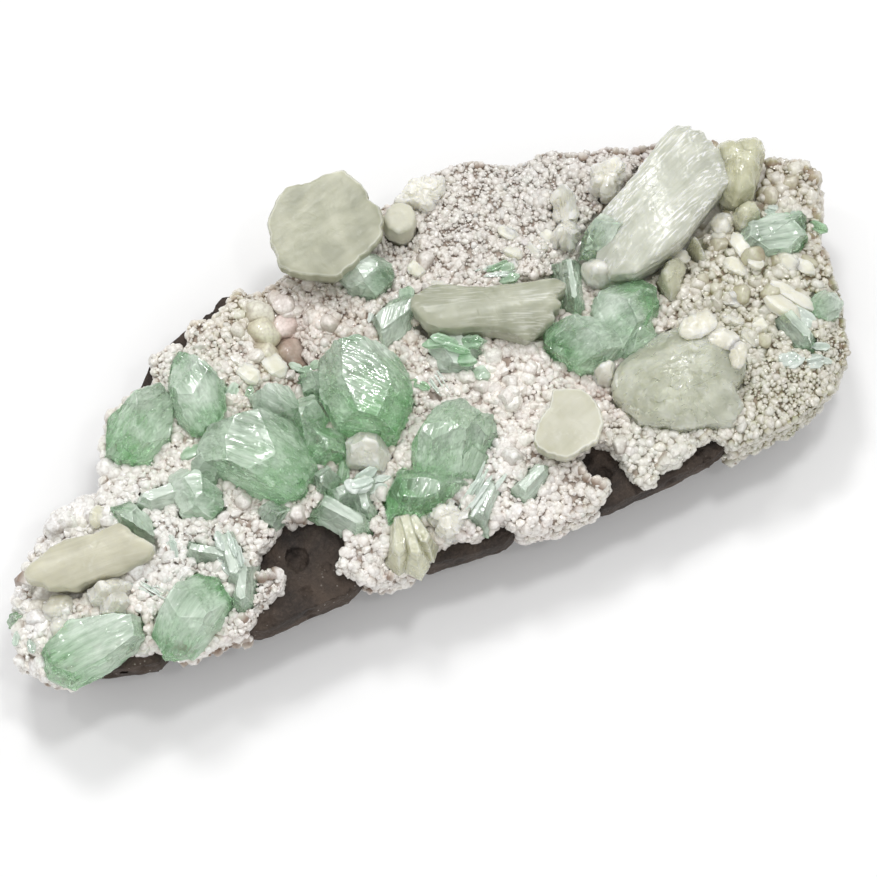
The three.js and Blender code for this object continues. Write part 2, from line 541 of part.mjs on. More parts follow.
/** The point of a chain of straight sides that lies nearest to (x, y). */
function nearestOn(chain, x, y) {
  const point = new THREE.Vector3(x, y, 0);
  const candidates = chain.slice(1).map((end, i) => {
    const side = new THREE.Line3(
      new THREE.Vector3(chain[i][0], chain[i][1], 0), new THREE.Vector3(end[0], end[1], 0));
    return side.closestPointToPoint(point, true, new THREE.Vector3());
  });
  return candidates.reduce(
    (best, one) => (one.distanceTo(point) < best.distanceTo(point) ? one : best));
}

/** Unit vectors that point away from the slab's middle line. */
function outwardAt(points) {
  return points.map(([x, y]) => {
    const middle = nearestOn(SPINE, x, y);
    return new THREE.Vector2(x - middle.x, y - middle.y).normalize();
  });
}

/** Distance from a point to the slab's edge. */
function distanceToEdge(x, y) {
  const nearest = nearestOn([...SLAB, SLAB[0]], x, y);
  return Math.hypot(nearest.x - x, nearest.y - y);
}

/** A dome of a given radius and height, seen as a rise over the ground. */
function domeRise(x, y, [centreX, centreY, radius, height]) {
  const reach = Math.hypot(x - centreX, y - centreY) / radius;
  return reach < 1 ? height * (1 - reach * reach) : 0;
}

/** The broken basalt slab, its skin moved out by `grow`. */
function basaltSolid(grow = 0) {
  const random = randomStream(11);
  const around = stepped(SLAB, ROCK_STEP);
  const outward = outwardAt(around);
  const spread = () => 2 * random() - 1;
  const rings = ROCK_RINGS.map(([z, inset]) => around.map(([x, y, bare], i) => {
    const isBase = z === 0;
    const chip = isBase ? 0 : spread() * ROCK_CHIP * (1 - bare);
    const sag = isBase ? -grow : spread() * ROCK_SAG;
    const move = 1.3 * grow - inset * (1 - ROCK_BARE * bare) - ROCK_COVER * (1 - bare) - chip;
    return new THREE.Vector3(x + outward[i].x * move, y + outward[i].y * move, z + sag);
  }));
  const top = (x, y) => ROCK_TOP + grow
    + ROCK_ROUGHNESS * Math.sin(x / 7.3 + 1) * Math.cos(y / 6.1 + x / 19);
  return loft(rings).intersect(heightBlock(top, ROCK_CELL, -2, 5));
}

/** Bubbles cut open by the break. */
function vesicleSolid() {
  return wasm.Manifold.union(VESICLES.map(([x, y, z, radius], i) => {
    const ball = new THREE.IcosahedronGeometry(radius, i < 1 ? 1 : 0);
    ball.rotateX(i).rotateY(i * 2).translate(x, y, z);
    return solidFrom(ball);
  }));
}

/** The heulandite crust before the crystals' sockets are cut. */
function crustSolid() {
  const random = randomStream(23);
  const around = stepped(CRUST, CRUST_STEP);
  const outward = outwardAt(around);
  const rings = CRUST_RINGS.map(([z, inset]) => around.map(([x, y], i) => {
    const move = (random() - 0.5) * 2 * CRUST_CHIP - inset;
    return new THREE.Vector3(x + outward[i].x * move, y + outward[i].y * move, z);
  }));
  const top = (x, y, isApex, next) => {
    const swell = CRUST_SWELL * Math.sin(x / 11 + y / 17) * Math.cos(y / 9 - x / 31);
    const rim = 1 - Math.min(distanceToEdge(x, y) / RIM_WIDTH, 1);
    const lump = isApex ? THREE.MathUtils.lerp(...LUMP_HEIGHT, next()) : -LUMP_DIP * next();
    const nodules = NODULES.reduce((most, nodule) => Math.max(most, domeRise(x, y, nodule)), 0);
    const pits = PITS.reduce((sum, pit) => sum + domeRise(x, y, pit), 0);
    return CRUST_TOP + swell + lump + nodules - pits - RIM_DROP * rim * rim;
  };
  const skirt = (x, y) => SKIRT_LOW + SKIRT_WAVE * (1 + Math.sin(x / 6.7 + 2) * Math.cos(x / 15 + y / 8)) / 2;
  return loft(rings)
    .intersect(heightBlock(top, CRUST_CELL, -1, 3))
    .subtract(heightBlock(skirt, SKIRT_CELL, -3, 9))
    .subtract(basaltSolid(GAP));
}

// ------------------------------------------------------------------ the stone

const finish = (color, roughness) => new THREE.MeshStandardMaterial({ color, roughness, metalness: 0 });
const basaltFinish = () => finish(0x3b332f, 0.9);
const heulanditeFinish = () => finish(0xe6dfd6, 0.6);
const apophylliteFinish = () => finish(0x9ccfb0, 0.15);
const stilbiteFinish = () => finish(0xcdccb0, 0.35);

const specimen = new THREE.Group();

const crystalGroups = [
  ...Object.entries(APOPHYLLITE).map(([name, parts]) => [`apophyllite_${name}`, parts, apophylliteFinish]),
  ...Object.entries(STILBITE).map(([name, parts]) => [`stilbite_${name}`, parts, stilbiteFinish]),
];
const raisedBasalt = basaltSolid(GAP);
const sockets = [];
for (const [name, parts, finishOf] of crystalGroups) {
  const room = wasm.Manifold.union([raisedBasalt, ...sockets]);
  specimen.add(meshOf(name, clusterSolid(parts).subtract(room), finishOf()));
  sockets.push(clusterSolid(parts, GAP));
}
const crust = crustSolid().subtract(wasm.Manifold.union(sockets));
specimen.add(meshOf('heulandite_crust', crust, heulanditeFinish()));
specimen.add(meshOf('basalt_matrix', basaltSolid().subtract(vesicleSolid()), basaltFinish()));

export default specimen;
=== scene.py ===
"""Green apophyllite and cream stilbite on a white heulandite crust over basalt.

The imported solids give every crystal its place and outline. This file gives them
their looks: growth relief, fibres, crevices and a druse of small grains, each
worked out as whole arrays, and the finishes, lights and camera around them.
Lengths are metres; those in a table are millimetres, which MM makes metres.
"""

import logging
import math
from dataclasses import astuple, dataclass
from enum import Enum

import bpy
import numpy as np
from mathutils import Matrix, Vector
from mathutils.bvhtree import BVHTree
from mathutils.kdtree import KDTree


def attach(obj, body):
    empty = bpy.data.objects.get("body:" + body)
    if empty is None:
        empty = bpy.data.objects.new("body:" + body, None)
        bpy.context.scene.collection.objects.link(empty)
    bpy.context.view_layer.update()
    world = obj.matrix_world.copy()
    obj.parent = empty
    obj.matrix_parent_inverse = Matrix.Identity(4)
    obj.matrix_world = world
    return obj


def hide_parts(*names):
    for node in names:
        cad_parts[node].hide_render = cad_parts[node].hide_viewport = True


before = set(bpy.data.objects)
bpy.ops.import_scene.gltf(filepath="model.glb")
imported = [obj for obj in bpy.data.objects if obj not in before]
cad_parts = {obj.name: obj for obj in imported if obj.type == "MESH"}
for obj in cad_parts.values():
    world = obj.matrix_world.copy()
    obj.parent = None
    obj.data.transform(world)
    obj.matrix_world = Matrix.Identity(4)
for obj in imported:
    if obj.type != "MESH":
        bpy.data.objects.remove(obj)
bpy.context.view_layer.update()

BODY = "root"
LOG = logging.getLogger("specimen")

MM = 0.001
COARSE = 1.2 * MM  # longest side of a triangle that nothing shows
TOUCH = 0.55 * MM  # a surface is buried where another solid is nearer than this
JOIN_GRID = 1e6  # grid points to the metre; loose corners on the same one are joined
UP = np.array([0.0, 0.0, 1.0])
SKY = 100 * MM  # a height over everything on the specimen
TINY = 1e-20

Colour = tuple[float, float, float]
Array = np.ndarray
Layers = dict[str, Array]
Socket = bpy.types.NodeSocket


# ---- noise

CORNERS = np.array([(i, j, k) for i in (0, 1) for j in (0, 1) for k in (0, 1)])
NEIGHBOURS = np.array([(i, j, k) for i in (-1, 0, 1) for j in (-1, 0, 1) for k in (-1, 0, 1)])
# odd numbers with well mixed bits, and shifts between them
HASH_AXES = np.array([0x8DA6B343, 0xD8163841, 0xCB1AB31F], np.uint32)
HASH_SEED = 0x9E3779B1
HASH_ROUNDS = ((16, 0x7FEB352D), (15, 0x846CA68B))
WORD = 2**32  # how many numbers 32 bits can hold
FINER = 0.55  # height of each finer set of swells, as a share of the set before it


def hashed(cells: Array, seed: int) -> Array:
    """A repeatable number from 0 to 1 for each lattice cell.

    Args:
        cells: Whole-numbered lattice cells, three to a row.
        seed: Which of many independent sets of numbers to give.

    Returns:
        One number a row: the cell's indices, mixed by shifts and products.
    """
    whole = cells.astype(np.int64).astype(np.uint32)
    mixed = (whole * HASH_AXES).sum(axis=-1, dtype=np.uint32)
    mixed = mixed + np.uint32(seed * HASH_SEED % WORD)
    for shift, factor in HASH_ROUNDS:
        mixed = (mixed ^ (mixed >> np.uint32(shift))) * np.uint32(factor)
    return (mixed ^ (mixed >> np.uint32(16))) / WORD


def hashed_triples(cells: Array, seed: int) -> Array:
    """Three repeatable numbers from 0 to 1 for each lattice cell."""
    return np.stack([hashed(cells, seed + i) for i in range(3)], axis=-1)


def swells(points: Array, size: float, seed: int, ramp: float = 0.5) -> Array:
    """Noise from -1 to 1 in smooth swells.

    Formula: the eight lattice corners' random numbers, blended by how near the point is to each,
    with an S-shaped ease.

    Args:
        points: Places in metres, three numbers a row.
        size: How wide the swells are.
        seed: Which of many independent patterns to take.
        ramp: Half the width of the ease, in cells. Under a half it leaves level, straight-edged
            plateaus with short ramps between them.

    Returns:
        One number a point.
    """
    scaled = points / size
    cell = np.floor(scaled)
    ease = smooth_step(scaled - cell, 0.5 - ramp, 0.5 + ramp)
    total = np.zeros(len(points))
    for corner in CORNERS:
        weight = np.where(corner == 1, ease, 1 - ease).prod(axis=-1)
        total += weight * hashed(cell + corner, seed)
    return 2 * total - 1


def rough(points: Array, size: float, seed: int, octaves: int = 3) -> Array:
    """Swells plus finer ones, each half as wide and about half as high."""
    layers = [swells(points, size / 2**i, seed + i) * FINER**i for i in range(octaves)]
    return np.sum(layers, axis=0) / sum(FINER**i for i in range(octaves))


def cells_near(points: Array, size: float, seed: int) -> tuple[Array, Array]:
    """Splits space into rounded cells, as in a druse.

    Formula: every lattice cell holds one random site; a point belongs to the site nearest to it.

    Args:
        points: Places in metres, three numbers a row.
        size: About how wide the cells are.
        seed: Which set of random sites to take.

    Returns:
        Each point's distance to its site, in cell widths, and the lattice cell that holds the site.
    """
    scaled = points / size
    cell = np.floor(scaled)
    nearest = np.full(len(points), np.inf)
    home = np.zeros_like(cell)
    for offset in NEIGHBOURS:
        at = cell + offset
        gap = np.linalg.norm(scaled - (at + hashed_triples(at, seed)), axis=-1)
        closer = gap < nearest
        home[closer] = at[closer]
        nearest = np.where(closer, gap, nearest)
    return nearest, home


def facets(points: Array, size: float, slope: float, seed: int) -> Array:
    """Heights of a mosaic of flat facets.

    Formula: each cell is a plane through its site, tilted at random by up to `slope`; the height is
    the distance along that tilt from the cell's site.

    Args:
        points: Places in metres, three numbers a row.
        size: About how wide the facets are.
        slope: The steepest tilt of a facet, as rise over run.
        seed: Which set of random facets to take.

    Returns:
        One height a point, in metres.
    """
    _, home = cells_near(points, size, seed)
    tilt = hashed_triples(home, seed + 3) - 0.5
    away = points / size - (home + hashed_triples(home, seed))
    return 2 * slope * size * (away * tilt).sum(axis=-1)


def smooth_step(value: Array, low: float, high: float) -> Array:
    """0 below `low`, 1 above `high` and an S-shaped rise between them."""
    part = np.clip((value - low) / (high - low), 0, 1)
    return part * part * (3 - 2 * part)


def unit(degrees: float) -> Array:
    """The level unit vector at an angle from +X."""
    turn = math.radians(degrees)
    return np.array([math.cos(turn), math.sin(turn), 0.0])


def levels(turn: Array) -> Array:
    """The level unit vectors at some angles from +X, in radians."""
    return np.stack([np.cos(turn), np.sin(turn), 0 * turn], axis=1)


def compass(spokes: int) -> Array:
    """Level unit vectors in even turns from +X towards +Y."""
    return levels(np.arange(spokes) * 2 * math.pi / spokes)


# ---- surfaces


@dataclass(frozen=True)
class Surface:
    """A closed triangle surface."""

    points: Array  # corner points in metres, one a row
    triangles: Array  # three point numbers a row, in the order that faces outwards

    @classmethod
    def of_node(cls, name: str) -> "Surface":
        """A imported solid's own surface, its loose triangles joined.

        Args:
            name: The solid's node.

        Returns:
            The closed surface, without triangles that have shrunk to a line.
        """
        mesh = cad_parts[name].data
        loose = np.empty(len(mesh.vertices) * 3, np.float32)
        mesh.vertices.foreach_get("co", loose)
        mesh.calc_loop_triangles()
        corners = np.empty(len(mesh.loop_triangles) * 3, np.int32)
        mesh.loop_triangles.foreach_get("vertices", corners)
        keys = np.round(loose.reshape(-1, 3) * JOIN_GRID).astype(np.int64)
        _, first, joined = np.unique(keys, axis=0, return_index=True, return_inverse=True)
        triangles = joined.ravel()[corners].reshape(-1, 3)
        whole = (triangles != np.roll(triangles, 1, axis=1)).all(axis=1)
        return cls(loose.reshape(-1, 3)[first].astype(float), triangles[whole])

    @classmethod
    def of_many(cls, points: Array, triangles: Array) -> "Surface":
        """Many things of one make, a table of points for each, as one surface."""
        start = np.arange(len(points))[:, None, None] * points.shape[1]
        return cls(points.reshape(-1, 3), (triangles[None] + start).reshape(-1, 3))

    def sides(self) -> tuple[Array, Array, Array]:
        """The triangles' sides, each named once.

        Returns:
            The numbers of each side's two end points, its length, and the numbers of each
            triangle's three sides.
        """
        sides = np.sort(self.triangles[:, [[0, 1], [1, 2], [2, 0]]].reshape(-1, 2), axis=1)
        keys = sides[:, 0].astype(np.int64) * len(self.points) + sides[:, 1]
        _, first, side_of = np.unique(keys, return_index=True, return_inverse=True)
        ends = sides[first]
        length = np.linalg.norm(self.points[ends[:, 0]] - self.points[ends[:, 1]], axis=1)
        return ends, length, side_of.reshape(-1, 3)

    def _halved(self, split: Array, sides: tuple[Array, ...]) -> "Surface":
        """Cuts the chosen sides at their midpoints, and the triangles with them.

        Args:
            split: Which sides to cut.
            sides: What `sides` gives.

        Returns:
            The finer surface; the new points come last, in the sides' order.
        """
        ends, length, own = sides
        middle = np.full(len(length), -1)
        middle[split] = len(self.points) + np.arange(split.sum())
        triangles = _split_triangles(self.triangles, middle[own], length[own])
        return Surface(np.vstack([self.points, self.points[ends[split]].mean(axis=1)]), triangles)

    def refined(
        self, longest: float, buried: Array | None = None, coarse: float = COARSE
    ) -> "Surface":
        """Halves every triangle's longest side until none is too long.

        Formula: both triangles on a side use the same midpoint, and a triangle with any side cut
        has its longest one cut too, so the surface stays closed; a midpoint is buried where both
        ends of its side are.

        Args:
            longest: The greatest length where the surface can be seen.
            buried: Which points are out of sight; none if it is left out.
            coarse: The greatest length where a triangle's points are all buried.

        Returns:
            The finer surface.
        """
        shape = self
        cover = np.zeros(len(self.points), bool) if buried is None else buried
        while True:
            ends, length, own = sides = shape.sides()
            limit = np.where(cover[shape.triangles].all(axis=1), coarse, longest)
            worst = own[np.arange(len(own)), length[own].argmax(axis=1)]
            split = np.zeros(len(length), bool)
            drawn = length[worst] > limit
            while drawn.any():
                split[worst[drawn]] = True
                drawn = split[own].any(axis=1) & ~split[worst]
            if not split.any():
                return shape
            shape = shape._halved(split, sides)
            cover = np.concatenate([cover, cover[ends[split]].all(axis=1)])

    def quartered(self) -> "Surface":
        """Cuts every triangle in four at the midpoints of its sides."""
        sides = self.sides()
        return self._halved(np.ones(len(sides[1]), bool), sides)

    def crosses(self) -> Array:
        """Each triangle's outward normal, as long as twice its area."""
        a, b, c = (self.points[self.triangles[:, i]] for i in range(3))
        return np.cross(b - a, c - a)

    def normals(self) -> Array:
        """Which way the surface faces.

        Returns:
            A unit vector a point: the mean of its triangles' normals by area.
        """
        faces = self.crosses()
        total = np.zeros_like(self.points)
        for corner in self.triangles.T:
            for axis in range(3):
                total[:, axis] += np.bincount(corner, faces[:, axis], len(self.points))
        return total / np.maximum(np.linalg.norm(total, axis=1, keepdims=True), TINY)

    def bends(self) -> Array:
        """How sharply the surface bends at each point.

        Formula: one minus the length of the mean of its triangles' unit normals, which is about a
        tenth at an edge of fifty degrees.

        Returns:
            One number a point: 0 where it is level, 1 at a crisp edge.
        """
        faces = self.crosses()
        faces /= np.maximum(np.linalg.norm(faces, axis=1, keepdims=True), TINY)
        own = self.triangles.ravel()
        size = len(self.points)
        mean = np.stack([np.bincount(own, np.repeat(face, 3), size) for face in faces.T], axis=1)
        mean /= np.maximum(np.bincount(own, minlength=size), 1)[:, None]
        return smooth_step(1 - np.linalg.norm(mean, axis=1), 0.01, 0.1)

    def eased(self, rounds: int) -> "Surface":
        """Rounds the edges: each point moves halfway to its neighbours' mean.

        Args:
            rounds: How often.

        Returns:
            The rounder surface.
        """
        points, size = self.points, len(self.points)
        one, two = self.triangles.ravel(), np.roll(self.triangles, 1, axis=1).ravel()
        count = np.bincount(one, minlength=size) + np.bincount(two, minlength=size)
        for _ in range(rounds):
            sums = [np.bincount(one, row[two], size) + np.bincount(two, row[one], size) for row in points.T]
            points = points + 0.5 * (np.stack(sums, axis=1) / count[:, None] - points)
        return Surface(points, self.triangles)

    def pushed(self, rise: Array) -> "Surface":
        """Every point moved outwards by its own `rise`."""
        return Surface(self.points + self.normals() * rise[:, None], self.triangles)


def _split_triangles(triangles: Array, middle: Array, length: Array) -> Array:
    """Cuts triangles at the midpoints of their split sides.

    Args:
        triangles: Point numbers, three a row.
        middle: The midpoint's number for each side, or -1.
        length: Each side's length.

    Returns:
        The new triangles, facing as the old ones do.
    """
    turn = length.argmax(axis=1)
    order = (turn[:, None] + np.arange(3)) % 3
    rows = np.arange(len(triangles))[:, None]
    a, b, c = triangles[rows, order].T
    ab, bc, ca = middle[rows, order].T
    cut, left, right = ab >= 0, ca >= 0, bc >= 0
    groups = [
        (~cut, (a, b, c)),
        (cut & ~left, (a, ab, c)),
        (cut & ~right, (ab, b, c)),
        (left, (a, ab, ca)),
        (right, (ab, b, bc)),
        (left & ~right, (ca, ab, c)),
        (right & ~left, (ab, bc, c)),
        (left & right, (ab, bc, ca)),
        (left & right, (ca, bc, c)),
    ]
    return np.vstack([np.stack(corners, axis=1)[chosen] for chosen, corners in groups])


def tube_skin(rings: int, around: int, falling: bool) -> Array:
    """The triangles of a tube of rings, closed by a point at each end.

    Args:
        rings: How many rings it has.
        around: How many points a ring has.
        falling: Whether the rings follow each other down the axis that their points turn about,
            rather than up it.

    Returns:
        Point numbers, three a row, facing outwards. The rings' points come first, then the end
        points beside the first and the last ring.
    """
    one = np.arange(rings * around).reshape(rings, around)
    two = np.roll(one, -1, axis=1)
    a, b, c, d = one[:-1], two[:-1], one[1:], two[1:]
    walls = np.stack((a, c, d, a, d, b) if falling else (a, b, c, b, d, c), axis=-1)
    if not falling:
        one, two = two, one
    first = np.stack([one[0], two[0], np.full(around, rings * around)], axis=1)
    last = np.stack([two[-1], one[-1], np.full(around, rings * around + 1)], axis=1)
    return np.vstack([walls.reshape(-1, 3), first, last])


def obstacles(nodes: list[str]) -> BVHTree:
    """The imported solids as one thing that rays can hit.

    Args:
        nodes: The solids' names.

    Returns:
        A tree of all their triangles.
    """
    points, triangles, start = [], [], 0
    for name in nodes:
        solid = Surface.of_node(name)
        points.append(solid.points)
        triangles.append(solid.triangles + start)
        start += len(solid.points)
    return BVHTree.FromPolygons(np.vstack(points).tolist(), np.vstack(triangles).tolist())


def seen_surface(node: str, fine: float, coarse: float = COARSE) -> Surface:
    """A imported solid's surface, cut fine where it shows and coarse where it is buried.

    Args:
        node: The solid.
        fine: Longest side of its triangles where it shows.
        coarse: Longest side of its triangles where another solid touches it.

    Returns:
        The finer surface, on the solid's own faces.
    """
    plain = Surface.of_node(node).refined(coarse)
    around = obstacles([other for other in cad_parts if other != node])
    buried = [around.find_nearest(point, TOUCH)[0] is not None for point in plain.points.tolist()]
    return plain.refined(fine, np.array(buried), coarse)


def make_piece(
    name: str,
    surface: Surface,
    slot: str,
    finish: bpy.types.Material,
    smooth: bool = True,
    crisp: float = math.pi,
    **layers: Array,
) -> bpy.types.Object:
    """Puts a surface into the scene as a piece of the specimen.

    Args:
        name: The piece's name.
        surface: Its shape, in place.
        slot: The record's material slot; not used.
        finish: Its material.
        smooth: Whether its faces are shaded as one curved skin.
        crisp: The bend, in radians, from which an edge is shaded sharp.
        layers: Values for each point that the finish reads: one number a point, or three.

    Returns:
        The piece, riding on the specimen's body.
    """
    mesh = bpy.data.meshes.new(name)
    count = len(surface.triangles)
    mesh.vertices.add(len(surface.points))
    mesh.vertices.foreach_set("co", surface.points.astype(np.float32).ravel())
    mesh.loops.add(3 * count)
    mesh.loops.foreach_set("vertex_index", surface.triangles.astype(np.int32).ravel())
    mesh.polygons.add(count)
    mesh.polygons.foreach_set("loop_start", np.arange(0, 3 * count, 3, dtype=np.int32))
    mesh.polygons.foreach_set("use_smooth", np.full(count, smooth))
    mesh.update(calc_edges=True)
    if crisp < math.pi:
        mesh.set_sharp_from_angle(angle=crisp)
    for layer, values in layers.items():
        kind, key = ("FLOAT", "value") if values.ndim == 1 else ("FLOAT_VECTOR", "vector")
        data = mesh.attributes.new(layer, kind, "POINT").data
        data.foreach_set(key, values.astype(np.float32).ravel())
    mesh.materials.append(finish)
    piece = bpy.data.objects.new(name, mesh)
    bpy.context.scene.collection.objects.link(piece)
    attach(piece, BODY)
    LOG.info("%s: %d triangles", name, count)
    return piece


# ---- finishes


class Board:
    """Lays out one material's nodes."""

    def __init__(self, name: str) -> None:
        """Starts an empty material."""
        self.material = bpy.data.materials.new(name)
        self.material.use_nodes = True
        self.tree = self.material.node_tree
        self.tree.nodes.clear()

    def add(self, kind: str, sockets: dict | None = None, **settings: object) -> bpy.types.Node:
        """Adds a node.

        Args:
            kind: The node's type, without its "ShaderNode" prefix.
            sockets: Values or other nodes' outputs, by input name or number.
            settings: The node's own options.

        Returns:
            The node.
        """
        node = self.tree.nodes.new("ShaderNode" + kind)
        for key, value in settings.items():
            setattr(node, key, value)
        for key, value in (sockets or {}).items():
            socket = node.inputs[key]
            if isinstance(value, Socket):
                self.tree.links.new(value, socket)
            else:
                socket.default_value = rgba(value) if socket.type == "RGBA" else value
        return node

    def layer(self, name: str, output: str = "Fac") -> Socket:
        """A value that the piece's points carry."""
        return self.add("Attribute", attribute_name=name).outputs[output]

    def place(self) -> Socket:
        """Where a point lies on the specimen, in metres."""
        return self.add("TexCoord").outputs["Object"]

    def noise(self, at: Socket, size: float, detail: float = 3, stretch: float = 0) -> Socket:
        """Noise from 0 to 1 whose swells are about `size` across."""
        sockets = {"Vector": at, "Scale": 1 / size, "Detail": detail, "Distortion": stretch}
        return self.add("TexNoise", sockets).outputs["Fac"]

    def spots(self, at: Socket, size: float) -> Socket:
        """The distance to the middle of the nearest spot, spots being about `size` apart."""
        return self.add("TexVoronoi", {"Vector": at, "Scale": 1 / size}).outputs["Distance"]

    def rise(
        self, value: Socket, low: float, high: float, least: float = 0.0, most: float = 1.0
    ) -> Socket:
        """Maps low..high to least..most, held at both ends."""
        sockets = {"Value": value, 1: low, 2: high, 3: least, 4: most}
        return self.add("MapRange", sockets).outputs[0]

    def blend(self, share: Socket, first: Socket | Colour, second: Socket | Colour) -> Socket:
        """A colour between two, by a share from 0 to 1."""
        return self.add("Mix", {0: share, 6: first, 7: second}, data_type="RGBA").outputs[2]

    def calc(self, operation: str, *values: Socket | float) -> Socket:
        """Arithmetic on two values."""
        return self.add("Math", dict(enumerate(values)), operation=operation).outputs[0]

    def times(self, one: Socket, two: Socket | float) -> Socket:
        """The product of two values."""
        return self.calc("MULTIPLY", one, two)

    def weighed(self, *parts: tuple[Socket, float]) -> Socket:
        """The sum of some values, each times its weight.

        Args:
            parts: Each value with its weight.

        Returns:
            The sum.
        """
        total, *rest = [self.times(value, weight) for value, weight in parts]
        for part in rest:
            total = self.calc("ADD", total, part)
        return total

    def bump(self, height: Socket, depth: float, under: Socket | None = None) -> Socket:
        """Fine relief.

        Args:
            height: The relief, from 0 to 1.
            depth: Its greatest height in metres.
            under: Coarser relief that it lies on.

        Returns:
            The direction in which the relief faces.
        """
        sockets = {"Height": height, "Distance": depth, "Strength": 1.0}
        if under is not None:
            sockets["Normal"] = under
        return self.add("Bump", sockets).outputs["Normal"]

    def finish(
        self, shader: bpy.types.Node, volume: bpy.types.Node | None = None
    ) -> bpy.types.Material:
        """Ends the material.

        Args:
            shader: Its surface.
            volume: What fills the piece; nothing if it is left out.

        Returns:
            The material.
        """
        sockets = {"Surface": shader.outputs[0]}
        if volume is not None:
            sockets["Volume"] = volume.outputs[0]
        self.add("OutputMaterial", sockets)
        return self.material


def rgba(colour: Colour) -> tuple[float, float, float, float]:
    """A colour with full cover."""
    return (*colour, 1.0)


@dataclass(frozen=True)
class GreenGlass:
    """Apophyllite: mint glass with milky veils, deeper green where it is clear."""

    name: str  # the material's name
    pale: Colour = (0.85, 0.95, 0.84)  # its colour where the crystal is palest
    deep: Colour = (0.46, 0.85, 0.46)  # its colour where the crystal is greenest
    milk: Colour = (0.84, 0.92, 0.83)  # colour of its veils
    clear: float = 0.9  # how much light goes through its clear parts, 0 to 1
    veiled: float = 0.25  # how much goes through its veils
    soft: float = 0.035  # roughness of its faces
    tint: Colour = (0.60, 0.93, 0.63)  # the colour that 1/`density` metres of it leave
    density: float = 23.0  # how fast it takes light in, per metre
    ridge: float = 0.03 * MM  # height of the ridges along its growth steps
    edge: Colour = (0.93, 1.0, 0.94)  # colour of the painted highlight on its edges, where they would catch the light
    streaked: float = 0.75  # how white the bundles of fine streaks in it are, 0 to 1
    cloud: float = 4.5 * MM  # size of its cloudy parts
    wisp: float = 1.4 * MM  # width of its wisps
    frost: float = 0.4 * MM  # width of its finest veils
    needle: float = 0.45 * MM  # width of its fine streaks
    bundle: float = 2.4 * MM  # width of the bundles that they lie in
    wave: float = 0.9 * MM  # width of its ridges
    ripple: float = 0.3 * MM  # width of the finer ridges on them
    index: float = 1.535  # how strongly it bends light

    def material(self) -> bpy.types.Material:
        """The finish as nodes.

        Returns:
            Clear green glass; veils by noise along the growth steps take its clearness away, and
            its colour follows how green the crystal is. Its edges are painted lighter and less clear as a
            highlight.
        """
        board = Board(self.name)
        way = board.layer("way", "Vector")
        edge = board.layer("edge")
        cloud = board.noise(board.place(), self.cloud, 5, 0.6)
        wisps = board.noise(way, self.wisp, 4, 0.5)
        frost = board.noise(way, self.frost, 3, 0.3)
        veil = board.weighed((cloud, 0.4), (wisps, 0.35), (frost, 0.25), (board.layer("milk"), 0.4))
        needles = board.rise(board.noise(way, self.needle, 2, 0.2), 0.54, 0.64)
        bundles = board.rise(board.noise(way, self.bundle, 2, 0.3), 0.46, 0.58, 0.0, self.streaked)
        share = board.calc("MAXIMUM", board.rise(veil, 0.5, 0.88), board.times(needles, bundles))
        depth = board.times(board.layer("green"), board.rise(cloud, 0.3, 0.7, 1.0, 0.6))
        colour = board.blend(depth, self.pale, self.deep)
        colour = board.blend(board.times(share, 0.7), colour, self.milk)
        # painted highlight along the edges, which also let less light through
        colour = board.blend(board.times(edge, 0.4), colour, self.edge)
        through = board.rise(share, 0.0, 1.0, self.clear, self.veiled)
        waves = board.bump(board.noise(way, self.wave, 2, 0.4), self.ridge)
        shader = board.add(
            "BsdfPrincipled",
            {
                "Base Color": colour,
                "Roughness": board.rise(share, 0.0, 1.0, self.soft, self.soft + 0.12),
                "Transmission Weight": board.times(through, board.rise(edge, 0.0, 1.0, 1.0, 0.45)),
                "IOR": self.index,
                "Normal": board.bump(board.noise(way, self.ripple, 3, 0.2), self.ridge / 3, waves),
            },
        )
        volume = board.add("VolumeAbsorption", {"Color": self.tint, "Density": self.density})
        return board.finish(shader, volume)


